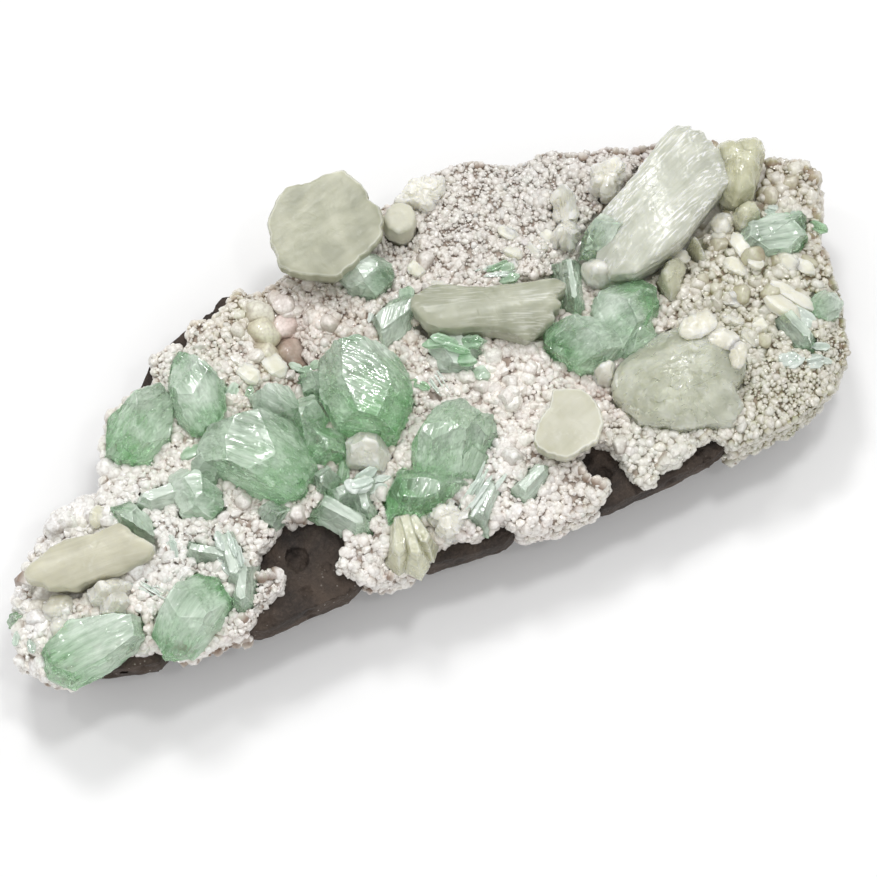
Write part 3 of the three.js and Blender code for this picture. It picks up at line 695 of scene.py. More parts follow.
@dataclass(frozen=True)
class PearlyBlade:
    """Stilbite: translucent and silky, ribbed along its fibres."""

    name: str  # the material's name
    light: Colour  # colour of its brighter fibres
    dark: Colour  # colour of its deeper parts
    through: float = 0.3  # how much light goes through, 0 to 1
    soft: float = 0.34  # roughness between its ribs
    pearl: float = 0.35  # strength of its pearly top layer
    silk: float = 0.2  # how much of it is covered by white silky streaks, 0 to 1
    bloom: float = 0.2  # how much of it has a white bloom, 0 to 1
    ribs: float = 0.02 * MM  # height of its finest ribs
    grain: float = 0.016 * MM  # height of its granular relief
    waxy: float = 0.6  # how much light spreads under its skin, 0 to 1
    fibre: float = 0.2  # how much of its pattern runs along its fibres, 0 to 1
    polish: float = 0.2  # roughness of its pearly top layer
    rim: Colour = (0.92, 0.92, 0.85)  # colour of the painted highlight on its thin edges
    white: Colour = (0.93, 0.93, 0.90)  # colour of its streaks and its bloom
    # how far red, green and blue light spread under its skin
    spread: Colour = (2.5 * MM, 2.4 * MM, 1.8 * MM)
    streak: float = 0.7 * MM  # width of its fibres
    hair: float = 0.28 * MM  # width of its finest ribs and its silky streaks
    bundle: float = 2.8 * MM  # width of the bundles that the streaks lie in
    cloud: float = 4.0 * MM  # size of its cloudy parts
    dust: float = 1.8 * MM  # size of the patches of bloom
    grit: float = 0.35 * MM  # size of its grains
    index: float = 1.5  # how strongly it bends light

    def material(self) -> bpy.types.Material:
        """The finish as nodes.

        Returns:
            A waxy body whose two colours follow its fibres and clouds, with white streaks and
            bloom, edges painted lighter as a highlight, and fine ribs over fine grains.
        """
        board = Board(self.name)
        place, way = board.place(), board.layer("way", "Vector")
        streaks = board.noise(way, self.streak, 4, 0.1)
        cloud = board.noise(place, self.cloud, 5, 0.4)
        share = board.weighed((streaks, self.fibre), (cloud, 1 - self.fibre))
        share = board.calc("ADD", share, board.layer("tone"))
        body = board.blend(board.rise(share, 0.35, 0.68), self.dark, self.light)
        hair = board.noise(way, self.hair, 3)
        bundles = board.rise(board.noise(way, self.bundle, 2, 0.3), 0.44, 0.56)
        lines = board.times(board.rise(hair, 0.5, 0.6), bundles)
        from_here, to_here = 0.72 - 0.34 * self.bloom, 0.86 - 0.34 * self.bloom
        chalk = board.rise(board.noise(place, self.dust, 6, 0.4), from_here, to_here, 0.0, self.bloom)
        white = board.calc("MAXIMUM", board.times(lines, self.silk), chalk)
        colour = board.blend(white, body, self.white)
        # painted highlight along the edges
        colour = board.blend(board.times(board.layer("edge"), 0.5), colour, self.rim)
        clear = board.rise(cloud, 0.3, 0.7, self.through * 1.3, self.through * 0.6)
        grains = board.bump(board.noise(place, self.grit, 3), self.grain)
        shader = board.add(
            "BsdfPrincipled",
            {
                "Base Color": colour,
                "Roughness": board.rise(streaks, 0.35, 0.7, self.soft + 0.04, self.soft - 0.04),
                "Transmission Weight": board.times(clear, board.rise(white, 0.0, 1.0, 1.0, 0.2)),
                "IOR": self.index,
                "Subsurface Weight": self.waxy,
                "Subsurface Radius": self.spread,
                "Subsurface Scale": 1.0,
                "Coat Weight": self.pearl,
                "Coat Roughness": self.polish,
                "Normal": board.bump(hair, self.ribs, grains),
            },
        )
        return board.finish(shader)


@dataclass(frozen=True)
class DruseGrain:
    """Heulandite: off-white grains with a pearly glint, with painted shade in the crevices and a painted
    highlight on their tops.
    """

    name: str  # the material's name
    bead: float = 0.65 * MM  # size of the small beads that cover them
    bead_shade: float = 0.35  # how much painted shade darkens it between the beads, 0 to 1
    stand: float = 0.05 * MM  # height of the beads
    crevice_shade: Colour = (0.27, 0.19, 0.14)  # painted shade at the foot of the grains and between the beads
    dusty: Colour = (0.50, 0.45, 0.39)  # colour of the specks on them
    top_highlight: Colour = (0.95, 0.93, 0.89)  # painted highlight that their tops lean towards
    glint: float = 0.5  # strength of the glassy top layer
    speck: float = 0.6 * MM  # size of the specks
    grit: float = 0.3 * MM  # size of the finest relief
    grit_height: float = 0.03 * MM  # height of the finest relief
    index: float = 1.5  # how strongly they bend light

    def material(self) -> bpy.types.Material:
        """The finish as nodes.

        Returns:
            Each grain's own hue with specks and small beads on it, with painted shade at its foot
            and between the beads, and a painted highlight at its top.
        """
        board = Board(self.name)
        place = board.place()
        up = board.layer("rise")
        speck = board.noise(place, self.speck, 4)
        specks = board.rise(speck, 0.35, 0.6, 0.45, 0.0)
        lit = board.blend(specks, board.layer("hue", "Color"), self.dusty)
        # painted highlight: points high on their grain lean towards the top highlight colour
        lit = board.blend(board.rise(up, 0.5, 0.95, 0.0, 0.65), lit, self.top_highlight)
        beads = board.spots(place, self.bead)
        # painted shade between the beads
        lit = board.blend(board.rise(beads, 0.45, 0.8, 0.0, self.bead_shade), lit, self.crevice_shade)
        swell = board.bump(board.rise(beads, 0.0, 0.75, 1.0, 0.0), self.stand)
        shader = board.add(
            "BsdfPrincipled",
            {
                # painted shade: the foot of each grain and the low bed take the crevice shade colour
                "Base Color": board.blend(board.rise(up, 0.12, 0.6), self.crevice_shade, lit),
                "Roughness": board.rise(speck, 0.35, 0.7, 0.5, 0.25),
                "IOR": self.index,
                "Coat Weight": self.glint,
                "Coat Roughness": 0.1,
                "Normal": board.bump(board.noise(place, self.grit, 4), self.grit_height, swell),
            },
        )
        return board.finish(shader)


@dataclass(frozen=True)
class BrokenBasalt:
    """Basalt: dark, fine-grained and rough, with brown patches and pale specks."""

    name: str = "broken_basalt"  # the material's name
    dark: Colour = (0.028, 0.022, 0.019)  # its darkest colour
    brown: Colour = (0.078, 0.056, 0.042)  # colour of its patches
    dusty: Colour = (0.14, 0.11, 0.095)  # colour of the dust on it
    specks: Colour = (0.30, 0.27, 0.24)  # colour of its mineral specks
    patch: float = 9.0 * MM  # size of its patches
    crumb: float = 1.2 * MM  # how far apart its specks are
    lump: float = 2.5 * MM  # size of its coarser relief
    lump_height: float = 0.6 * MM  # height of its coarser relief
    grit: float = 0.7 * MM  # size of its finest relief
    grit_height: float = 0.5 * MM  # height of its finest relief

    def material(self) -> bpy.types.Material:
        """The finish as nodes.

        Returns:
            Patches, dust and mineral specks over a gritty relief.
        """
        board = Board(self.name)
        place = board.place()
        patch = board.noise(place, self.patch, 5, 0.8)
        fine = board.noise(place, self.grit, 5)
        colour = board.blend(board.rise(patch, 0.35, 0.65), self.dark, self.brown)
        colour = board.blend(board.rise(fine, 0.45, 0.75, 0.0, 0.35), colour, self.dusty)
        dots = board.rise(board.spots(place, self.crumb), 0.08, 0.16, 1.0, 0.0)
        colour = board.blend(board.times(dots, board.rise(patch, 0.5, 0.6)), colour, self.specks)
        lumps = board.bump(board.noise(place, self.lump, 4), self.lump_height)
        shader = board.add(
            "BsdfPrincipled",
            {
                "Base Color": colour,
                "Roughness": board.rise(fine, 0.3, 0.7, 0.62, 0.95),
                "Specular IOR Level": 0.35,
                "Normal": board.bump(fine, self.grit_height, lumps),
            },
        )
        return board.finish(shader)


# ---- the basalt


@dataclass(frozen=True)
class BasaltSlab:
    """The broken slab under the crust."""

    node: str = "basalt_matrix"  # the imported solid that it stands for
    facet: float = 0.9 * MM  # longest side of its triangles
    swell: float = 0.55 * MM  # height of its broken relief
    swell_size: float = 5.0 * MM  # how wide its broken relief is
    grit: float = 0.28 * MM  # height of its fine relief
    grit_size: float = 1.6 * MM  # how wide its fine relief is
    bubble: float = 3.2 * MM  # size of the cells that may hold a gas bubble
    bubble_depth: float = 0.9 * MM  # how deep the bubbles are
    solid_share: float = 0.35  # the share of the cells that hold none
    level: float = 1.5 * MM  # the height up to which the flat base tells
    seed: int = 31  # picks the random numbers

    def build(self) -> Surface:
        """The solid with broken relief and gas bubbles, flat on its base.

        Formula: rough noise at two sizes, minus a round bowl at the site of most cells; on the base
        it only sinks.

        Returns:
            The slab's surface.
        """
        plain = seen_surface(self.node, self.facet, 3 * self.facet)
        at = plain.points
        rise = self.swell * rough(at, self.swell_size, self.seed, 3)
        rise += self.grit * rough(at, self.grit_size, self.seed + 5, 2)
        gap, home = cells_near(at, self.bubble, self.seed + 9)
        mark = hashed(home, self.seed + 12)
        bowl = np.clip(1 - (gap / (0.16 + 0.2 * mark)) ** 2, 0, 1)
        rise -= self.bubble_depth * np.sqrt(bowl) * (mark > self.solid_share)
        off_base = smooth_step(at[:, 2], 0.2 * MM, self.level)
        rise = np.where(off_base < 1, np.minimum(rise, 0) * (0.35 + 0.65 * off_base), rise)
        shaped = plain.pushed(rise)
        shaped.points[:, 2] = np.maximum(shaped.points[:, 2], 0)
        return shaped

    def dress(self) -> None:
        """Puts the slab into the scene."""
        piece = make_piece("basalt_slab", self.build(), "basalt", BrokenBasalt().material())
        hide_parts(self.node)


# ---- the crust

# Grain radius of the druse around places on the crust: x, y, radius.
GRAIN_SIZES = [
    (25, 24, 0.40), (12, 23, 0.42), (38, 23, 0.48), (30, 14, 0.50), (0, 28, 0.53),
    (-10, 22, 0.70), (-34, 17, 0.50), (-26, 20, 0.53), (-22, 10, 0.66), (-60, -2, 0.84),
    (-70, -10, 0.92), (-45, -6, 0.53), (-40, -13, 0.53), (-60, -15, 0.62), (-50, -13, 0.75),
    (18, -4, 0.75), (20, -14, 0.70), (10, -20, 0.66), (28, -20, 0.70), (33, -31, 0.66),
    (45, -33, 0.57), (60, -31, 0.41), (71, -26, 0.44), (62, -15, 0.70), (70, -9, 0.81),
    (76, 4, 0.81), (80, -10, 0.67), (60, -8, 0.74), (52, 22, 0.57), (-27, -28, 0.53),
    (-14, -27, 0.66), (-70, -22, 0.62), (8, 4, 0.62), (32, 10, 0.48),
]

# Colours of the druse around places on the crust: x, y, red, green, blue.
GRAIN_HUES = [
    (25, 22, 0.53, 0.50, 0.45), (40, 24, 0.49, 0.47, 0.43), (5, 24, 0.60, 0.55, 0.51),
    (-14.2, 13.6, 0.46, 0.33, 0.28), (-14.2, 9.6, 0.20, 0.12, 0.08), (-12.9, 17, 0.72, 0.51, 0.46),
    (-17.2, 17.2, 0.54, 0.51, 0.28), (-17.5, 14, 0.54, 0.51, 0.30), (-16.6, 20.6, 0.58, 0.56, 0.38),
    (-11, 20.4, 0.70, 0.60, 0.55), (-11.4, 13, 0.72, 0.62, 0.55), (-20.5, 15, 0.85, 0.81, 0.76),
    (-34, 17, 0.80, 0.78, 0.71), (-60, -2, 0.99, 0.99, 0.94), (-70, -10, 0.98, 0.98, 0.89),
    (-52, -12, 0.99, 0.99, 0.96), (-60, -16, 0.95, 0.83, 0.75), (18, -5, 0.91, 0.83, 0.77),
    (20, -15, 0.91, 0.84, 0.78), (34, -14, 0.86, 0.71, 0.66), (35, -31, 0.64, 0.65, 0.55),
    (60, -30, 0.29, 0.29, 0.13), (62, -15, 0.30, 0.30, 0.13), (70, -9, 0.30, 0.30, 0.13),
    (78, 8, 0.35, 0.31, 0.17), (81, -8, 0.35, 0.31, 0.17), (76, -22, 0.27, 0.27, 0.12),
    (-27, -28, 0.84, 0.81, 0.77), (10, -22, 0.92, 0.87, 0.83), (52, 23, 0.49, 0.44, 0.41),
]

# Rounded nodules that stand out of the crust: x, y, radius.
NODULES = [
    (-12.6, 17.4, 2.9), (-17.2, 17.2, 3.1), (-16.6, 20.6, 2.7), (-18.0, 14.0, 2.3), (-11.4, 20.6, 2.0),
    (62, -2, 1.8), (66, -7, 1.9), (70, -9, 1.6), (75, -11, 1.7), (61, -12, 2.0),
    (66, -14, 1.7), (56, -7, 1.6), (61, -21, 1.6), (75, 3, 1.7), (80, 4, 1.9),
    (59, 13, 1.5), (31, -6, 1.6), (13, -8, 1.9), (18, -10, 1.7), (22, -9, 1.6),
    (14, 17, 1.8), (-20, 13, 1.7), (-21, 19, 1.6), (-63, 0, 2.0), (-72, -14, 1.9),
    (-67, -15, 1.7), (-54, -13, 1.6), (-57, -1, 1.9), (-33, -10, 1.6), (-25, -16, 1.7),
    (-6, 13, 1.9), (12, -22, 1.9), (30, -28, 1.7),
]

# Hollows between the grains: x, y, radius, depth.
HOLLOWS = [(-14.4, 13.2, 3.3, 2.5), (-14.0, 9.6, 2.3, 2.4), (5.0, -6.5, 1.6, 1.0), (61, 3.2, 1.6, 1.2)]


def spread(places: Array, known: list[tuple[float, ...]]) -> Array:
    """Values at places, from values known at a few of them.

    Formula: the mean of the known values, each weighted by one over the cube of its distance.

    Args:
        places: Points in metres.
        known: x and y in millimetres and then the values.

    Returns:
        One row of values a point, in the units of the table.
    """
    table = np.array(known)
    gap = np.linalg.norm(places[:, None, :2] / MM - table[None, :, :2], axis=2)
    weight = 1 / (gap + 0.5) ** 3
    return weight @ table[:, 2:] / weight.sum(axis=1, keepdims=True)


def ball(rounds: int) -> Surface:
    """A unit ball of near-equal triangles.

    Args:
        rounds: How often a twenty-sided ball's triangles are cut in four.

    Returns:
        The ball.
    """
    golden = (1 + math.sqrt(5)) / 2
    corners = [
        (-1, golden, 0), (1, golden, 0), (-1, -golden, 0), (1, -golden, 0),
        (0, -1, golden), (0, 1, golden), (0, -1, -golden), (0, 1, -golden),
        (golden, 0, -1), (golden, 0, 1), (-golden, 0, -1), (-golden, 0, 1),
    ]
    faces = [
        (0, 11, 5), (0, 5, 1), (0, 1, 7), (0, 7, 10), (0, 10, 11), (1, 5, 9), (5, 11, 4),
        (11, 10, 2), (10, 7, 6), (7, 1, 8), (3, 9, 4), (3, 4, 2), (3, 2, 6), (3, 6, 8),
        (3, 8, 9), (4, 9, 5), (2, 4, 11), (6, 2, 10), (8, 6, 7), (9, 8, 1),
    ]
    shape = Surface(np.array(corners, float), np.array(faces))
    for _ in range(rounds):
        shape = shape.quartered()
    return Surface(shape.points / np.linalg.norm(shape.points, axis=1, keepdims=True), shape.triangles)


def turned(rng: np.random.Generator, count: int) -> Array:
    """Random rotations, worked out from unit quaternions.

    Args:
        rng: Source of the rotations.
        count: How many.

    Returns:
        One 3 by 3 matrix each.
    """
    loose = rng.normal(size=(4, count))
    w, x, y, z = loose / np.linalg.norm(loose, axis=0)
    rows = [
        [1 - 2 * (y * y + z * z), 2 * (x * y - z * w), 2 * (x * z + y * w)],
        [2 * (x * y + z * w), 1 - 2 * (x * x + z * z), 2 * (y * z - x * w)],
        [2 * (x * z - y * w), 2 * (y * z + x * w), 1 - 2 * (x * x + y * y)],
    ]
    return np.array(rows).transpose(2, 0, 1)


FARTHEST = 1.12  # how far a grain may reach, as a share of its radius


def chunks(
    rng: np.random.Generator,
    shape: Surface,
    centres: Array,
    sizes: Array,
    outward: Array,
    planes: int,
    flat: tuple[float, float] = (0.68, 1.0),
) -> tuple[Surface, Array]:
    """Many small faceted grains at once.

    Formula: along each direction of the unit ball a grain reaches to the nearest of its own random
    planes, and no further than `FARTHEST`; the grain is then squeezed a little, turned at random,
    scaled and put in place.

    Args:
        rng: Source of the random planes and turns.
        shape: A unit ball.
        centres: One centre a row.
        sizes: One radius a grain.
        outward: The ground's outward direction at each grain.
        planes: How many planes a grain has.
        flat: Least and greatest distance of a plane from the centre.

    Returns:
        All grains as one surface, and how far up its grain each point lies, from 0 at the foot to 1
        at the top.
    """
    count = len(centres)
    normals = rng.normal(size=(count, planes, 3))
    normals /= np.linalg.norm(normals, axis=2, keepdims=True)
    reach = rng.uniform(*flat, size=(count, 1, planes))
    facing = np.maximum(np.einsum("nkc,vc->nvk", normals, shape.points), 0.05)
    radius = np.minimum((reach / facing).min(axis=2), FARTHEST)
    squeeze = rng.uniform(0.8, 1.1, size=(count, 1, 3))
    local = shape.points[None] * radius[:, :, None] * squeeze * sizes[:, None, None]
    local = np.einsum("nij,nvj->nvi", turned(rng, count), local)
    rise = np.einsum("nvi,ni->nv", local, outward) / sizes[:, None] / 2 + 0.5
    return Surface.of_many(local + centres[:, None], shape.triangles), rise.ravel()


def ground_under(places: Array) -> tuple[Array, Array]:
    """How high the ground is.

    Args:
        places: Points in metres.

    Returns:
        The height of the crust or slab under each point, and of whatever stands highest there; 0
        beside the specimen.
    """
    heights = []
    for nodes in ([HeulanditeCrust.node, BasaltSlab.node], list(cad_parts)):
        solids = obstacles(nodes)
        hits = [solids.ray_cast((x, y, SKY), (0, 0, -1))[0] for x, y, _ in places.tolist()]
        heights.append(np.array([0 if hit is None else hit.z for hit in hits]))
    return heights[0], heights[1]


DRUSE = DruseGrain("druse_grain")
LUMP = DruseGrain("druse_lump", 0.6 * MM, 0.25, 0.03 * MM)


@dataclass(frozen=True)
class GrainLayer:
    """One size of the crust's grains."""

    name: str  # name of its pieces
    look: DruseGrain  # its finish
    rounds: int  # how finely a grain is cut, as for `ball`
    planes: int  # how many flat faces a grain has
    pitch: float  # spacing of the grains, in grain radii
    least: float  # radius of the smallest grains, as a share of the one wanted there
    most: float  # radius of the greatest grains, the same way
    sink: float  # how far a grain sinks into the ground, as a share of its radius


GRAIN_LAYERS = (
    GrainLayer("clumps", LUMP, 1, 14, 5.6, 1.5, 2.4, 0.35),
    GrainLayer("lumps", LUMP, 1, 13, 3.15, 0.95, 1.6, 0.2),
    GrainLayer("druse", DRUSE, 0, 9, 1.5, 0.55, 1.0, 0.0),
)


@dataclass(frozen=True)
class Grains:
    """Some grains: where they sit, how big they are and which way is out."""

    centres: Array  # one centre a row
    sizes: Array  # one radius a grain
    outward: Array  # the ground's outward direction at each grain

    def chosen(self, which: Array) -> "Grains":
        """Only the grains with these numbers or marks."""
        return Grains(self.centres[which], self.sizes[which], self.outward[which])


@dataclass(frozen=True)
class HeulanditeCrust:
    """The white crust: a lumpy bed and the druse of grains that grows on it."""

    node: str = "heulandite_crust"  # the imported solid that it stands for
    facet: float = 1.5 * MM  # longest side of the bed's triangles
    bump: float = 0.3 * MM  # height of the bed's own bumps
    bump_size: float = 2.2 * MM  # how wide those bumps are
    clump: float = 3.8 * MM  # size of the clumps that grains gather in
    clump_height: float = 1.0 * MM  # how far the clumps rise and the ground between them sinks
    samples: int = 230_000  # how many places are tried for grains
    clearance: float = 1.3 * MM  # room that a place needs over it, so that grains grow only on open ground
    bare: float = 0.5 * MM  # no grains grow where a hollow is deeper than this
    socket: float = 0.8 * MM  # the bed is painted at its lightest, with no painted shade and with the painted top highlight, where a crystal is nearer than this
    sort: float = 0.12  # step of the grain sizes that share a lattice, as a ratio's logarithm
    batch: int = 190_000  # most triangles in one piece of the druse
    crisp: float = math.radians(42)  # the bend from which the grains' edges are shaded sharp
    curved: int = 50  # grains of more triangles than this are shaded as curved
    muted: float = 0.7  # how far up a nodule's points count for the painted shade at the foot and the painted highlight on top, as a share of the grains'
    filled: float = 0.75  # how much of its radius a grain fills on every side
    shown: float = 0.55  # how much of a grain's radius has to stand out of a bigger grain
    brightest: float = 0.96  # the most of each colour that a grain's hue may have
    seed: int = 7  # picks the random numbers

    def swell(self, points: Array) -> Array:
        """Where the grains gather in clumps, from -1 to 1."""
        return rough(points, self.clump, self.seed + 60, 2)

    def hollow(self, points: Array) -> Array:
        """How deep each point lies in a hollow.

        Formula: a bowl whose depth falls with the square of the distance.

        Args:
            points: Places in metres.

        Returns:
            One depth a point, 0 beside the hollows.
        """
        x, y, radius, depth = np.array(HOLLOWS).T * MM
        gap = np.hypot(points[:, :1] - x, points[:, 1:2] - y)
        return (depth * (1 - (gap / radius) ** 2)).max(axis=1).clip(0)

    def bed(self) -> tuple[Surface, Array]:
        """The crust's solid with a bump on every cell of a druse.

        Returns:
            The surface, and how light each of its points is painted: 0 for the painted shade in a
            crevice, 1 in the sockets that crystals stand in.
        """
        plain = Surface.of_node(self.node).refined(self.facet)
        gap, _ = cells_near(plain.points, self.bump_size, self.seed)
        bump = np.clip(1 - gap**2, 0, 1)
        lift = self.clump_height * (self.swell(plain.points) - 0.3).clip(-1, 0)
        sink = self.hollow(plain.points)
        shape = plain.pushed(self.bump * (bump - 0.5) + lift - sink)
        crystals = obstacles([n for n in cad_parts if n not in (self.node, BasaltSlab.node)])
        points = shape.points.tolist()
        near = [crystals.find_nearest(point, self.socket)[0] is not None for point in points]
        # painted shade: the bed between the bumps is darkest, its bumps a little lighter, its hollows
        # halfway and its sockets lightest
        return shape, np.where(near, 1.0, np.where(sink > 0, 0.5, 0.05 + 0.3 * bump))

    def open_ground(self, rng: np.random.Generator) -> tuple[Array, Array]:
        """Random places on the crust with room over them.

        Args:
            rng: Source of the places.

        Returns:
            The places, and the crust's outward direction at each.
        """
        solid = Surface.of_node(self.node)
        normal = solid.crosses()
        area = np.linalg.norm(normal, axis=1)
        chosen = rng.choice(len(area), self.samples, p=area / area.sum())
        u, v = np.sqrt(rng.random(self.samples)), rng.random(self.samples)
        share = np.stack([1 - u, u * (1 - v), u * v], axis=1)[:, :, None]
        places = (solid.points[solid.triangles][chosen] * share).sum(axis=1)
        outward = (normal / area[:, None])[chosen]
        around = obstacles([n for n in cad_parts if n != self.node])
        rays = zip(places.tolist(), outward.tolist())
        free = [around.ray_cast(place, way, self.clearance)[0] is None for place, way in rays]
        return places[free], outward[free]

    def seats(
        self, rng: np.random.Generator, places: Array, radius: Array, pitch: float
    ) -> Array:
        """Thins the places to one for each cell of a lattice that follows the grain size.

        Args:
            rng: Source of the order in which places are tried.
            places: Points in metres.
            radius: The grain radius wanted at each of them.
            pitch: The lattice's cell, in grain radii.

        Returns:
            The numbers of the places kept.
        """
        level = np.round(np.log(radius) / self.sort)
        cell = pitch * np.exp(level * self.sort)
        keys = np.column_stack([level, np.floor(places / cell[:, None])]).astype(np.int64)
        order = rng.permutation(len(places))
        _, first = np.unique(keys[order], axis=0, return_index=True)
        return order[first]

    def shows(self, grains: Grains, bigger: Grains) -> Array:
        """Marks the grains that no bigger one swallows.

        Args:
            grains: The grains.
            bigger: The bigger ones, of which each grain's three nearest count.

        Returns:
            One mark a grain.
        """
        tree = KDTree(len(bigger.sizes))
        for number, centre in enumerate(bigger.centres.tolist()):
            tree.insert(centre, number)
        tree.balance()
        reach = bigger.sizes * self.filled
        each = zip(grains.centres.tolist(), (self.shown * grains.sizes).tolist())
        return np.array(
            [all(gap + out > reach[i] for _, i, gap in tree.find_n(centre, 3)) for centre, out in each]
        )

    def grow(self, layer: GrainLayer, rng: np.random.Generator, grains: Grains) -> None:
        """Makes one size of grains, in pieces from west to east.

        Args:
            layer: Their size, shape and finish.
            rng: Source of their facets and hues.
            grains: Where they sit.
        """
        finish, shape = bpy.data.materials[layer.look.name], ball(layer.rounds)
        order = np.argsort(grains.centres[:, 0])
        batch = self.batch // len(shape.triangles)
        for start in range(0, len(order), batch):
            part = grains.chosen(order[start : start + batch])
            surface, rise = chunks(rng, shape, *astuple(part), layer.planes)
            count = len(part.sizes)
            hue = spread(part.centres, GRAIN_HUES) * rng.uniform(0.84, 1.16, (count, 1))
            # painted shade and light: grains on the clumps are lighter, those on the low ground between them
            # darker
            hue *= 1 + 0.08 * self.swell(part.centres)[:, None]
            hue += rng.normal(0, 0.018, (count, 3)) * (1, 0.4, 1)
            hue = np.repeat(hue.clip(0, self.brightest), len(shape.points), axis=0)
            smooth = len(shape.triangles) > self.curved
            piece = f"{layer.name}_{start // batch + 1}"
            make_piece(piece, surface, "heulandite", finish, smooth, self.crisp, hue=hue, rise=rise)

    def nodules(self, rng: np.random.Generator, places: Array, outward: Array) -> None:
        """Makes the rounded nodules where the table has them, seated on the ground there.

        Args:
            rng: Source of their facets.
            places: Open places on the crust; a nodule takes the nearest one, and rather a high one.
            outward: The crust's outward direction at each place.
        """
        table = np.array(NODULES) * MM
        gap = np.linalg.norm(places[None, :, :2] - table[:, None, :2], axis=2)
        gap += 0.3 * (places[:, 2].max() - places[:, 2])
        at = gap.argmin(axis=1)
        lumps, rise = chunks(rng, ball(3), places[at], table[:, 2], outward[at], 14, (0.72, 1.0))
        lumps = lumps.eased(1).pushed(0.12 * MM * rough(lumps.points, 1.1 * MM, self.seed + 40))
        pale = (spread(places[at], GRAIN_HUES) ** 0.6).clip(0, 0.93)
        hue = np.repeat(pale, len(lumps.points) // len(at), axis=0)
        finish = bpy.data.materials[LUMP.name]
        make_piece("nodules", lumps, "heulandite", finish, hue=hue, rise=self.muted * rise)

    def dress(self) -> None:
        """Puts the bed, the druse and the nodules into the scene."""
        rng = np.random.default_rng(self.seed)
        LUMP.material()
        finish = DRUSE.material()
        bed, rise = self.bed()
        hue = spread(bed.points, GRAIN_HUES)
        piece = make_piece("crust_bed", bed, "heulandite", finish, hue=hue, rise=rise)
        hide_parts(self.node)
        places, outward = self.open_ground(rng)
        open_here = self.hollow(places) < self.bare
        places, outward = places[open_here], outward[open_here]
        swell = self.swell(places)
        places = places + outward * (self.clump_height * swell)[:, None]
        radius = spread(places, GRAIN_SIZES)[:, 0] * MM * (1 + 0.3 * swell)
        grown = Grains(np.empty((0, 3)), np.empty(0), np.empty((0, 3)))
        for layer in GRAIN_LAYERS:
            kept = self.seats(rng, places, radius, layer.pitch)
            sizes = radius[kept] * layer.least * (layer.most / layer.least) ** rng.random(len(kept))
            centres = places[kept] - outward[kept] * (sizes * layer.sink)[:, None]
            grains = Grains(centres, sizes, outward[kept])
            grains = grains.chosen(self.shows(grains, grown))
            self.grow(layer, rng, grains)
            grown = Grains(*map(np.concatenate, zip(astuple(grown), astuple(grains))))
        self.nodules(rng, places, outward)


# ---- the crystals


def crystal_way(points: Array, heading: float, flare: float, draw: float) -> Array:
    """Each point's place along, across and up its crystal's fibres, for patterns.

    Formula: along is squeezed, so a pattern stretches that way; across is divided by 1 + flare *
    (along / half length) squared, so fibres spread towards both ends as in a bow tie.

    Args:
        points: The crystal's points in metres.
        heading: Direction of its fibres, in degrees from +X.
        flare: How much they spread.
        draw: How much along is squeezed.

    Returns:
        Three numbers a point.
    """
    centre = (points.min(axis=0) + points.max(axis=0)) / 2
    along = (points - centre) @ unit(heading)
    across = (points - centre) @ unit(heading + 90)
    half = max(np.abs(along).max(), TINY)
    across = across / (1 + flare * (along / half) ** 2)
    return np.stack([along * draw, across, (points - centre)[:, 2] * 0.6], axis=1)


@dataclass(frozen=True)
class GreenHabit:
    """How one apophyllite crystal has grown."""

    heading: float  # direction of its growth steps, in degrees from +X
    deep: float | None  # direction in which its green deepens; None for both of its ends
    green: float = 0.6  # how green its deep parts are, 0 to 1
    milk: float = 0.3  # how milky it is, 0 to 1
    step: float = 0.12  # height of its growth steps, in millimetres
    ease: int = 0  # how often its edges are rounded
    # a place that is frosted over: x, y and radius in millimetres
    frost: tuple[float, float, float] | None = None


GREEN_CRYSTALS = {
    "west_block": GreenHabit(-46, -60, 0.8, 0.45, 0.13, frost=(-20.5, 4.0, 4.5)),
    "centre_block": GreenHabit(-50, -75, 0.95, 0.35, 0.13, frost=(-0.5, 4.6, 3.4)),
    "lower_cluster": GreenHabit(48, 170, 1.0, 0.35, 0.14),
    "east_cluster": GreenHabit(8, None, 1.0, 0.45, 0.11, frost=(38.5, -5.5, 2.6)),
    "west_tip": GreenHabit(25, 180, 0.95, 0.35, 0.09),
    "north_lath": GreenHabit(98, None, 0.95, 0.45, 0.11, frost=(-32.0, 9.0, 2.5)),
    "lower_west": GreenHabit(-20, -20, 0.7, 0.95, 0.11),
    "lower_left": GreenHabit(32, None, 0.9, 0.55, 0.09),
    "corner_plate": GreenHabit(4, 182, 0.95, 0.6, 0.07),
    "under_plate": GreenHabit(-30, -40, 0.7, 0.8, 0.14),
    "middle_pale": GreenHabit(50, 60, 0.5, 0.7, 0.11),
    "waist_pale": GreenHabit(-30, -30, 0.6, 0.8, 0.11),
    "left_small": GreenHabit(-60, 110, 0.9, 0.6),
    "neck_small": GreenHabit(-60, -60, 0.7, 0.4),
    "stack_small": GreenHabit(20, 0, 0.6, 0.4),
    "corner_bead": GreenHabit(80, None, 0.8, 0.2),
    "east_spread": GreenHabit(-15, 0, 0.7, 0.5, 0.4),
    "east_ball": GreenHabit(0, 160, 0.7, 0.45, 0.07, 12),
    "east_lath": GreenHabit(-75, None, 0.6, 0.6, 0.2),
    "tie_lath": GreenHabit(72, None, 0.5, 0.6, 0.2),
    "sheaf_back": GreenHabit(35, 200, 0.45, 0.55),
    "foot_lath_west": GreenHabit(43, None, 0.6, 0.8),
    "foot_lath_east": GreenHabit(22, None, 0.7, 0.8),
    "pale_blades": GreenHabit(-95, None, 0.5, 0.7),
    "pale_tangle": GreenHabit(-60, None, 0.65, 0.65, 0.2),
}


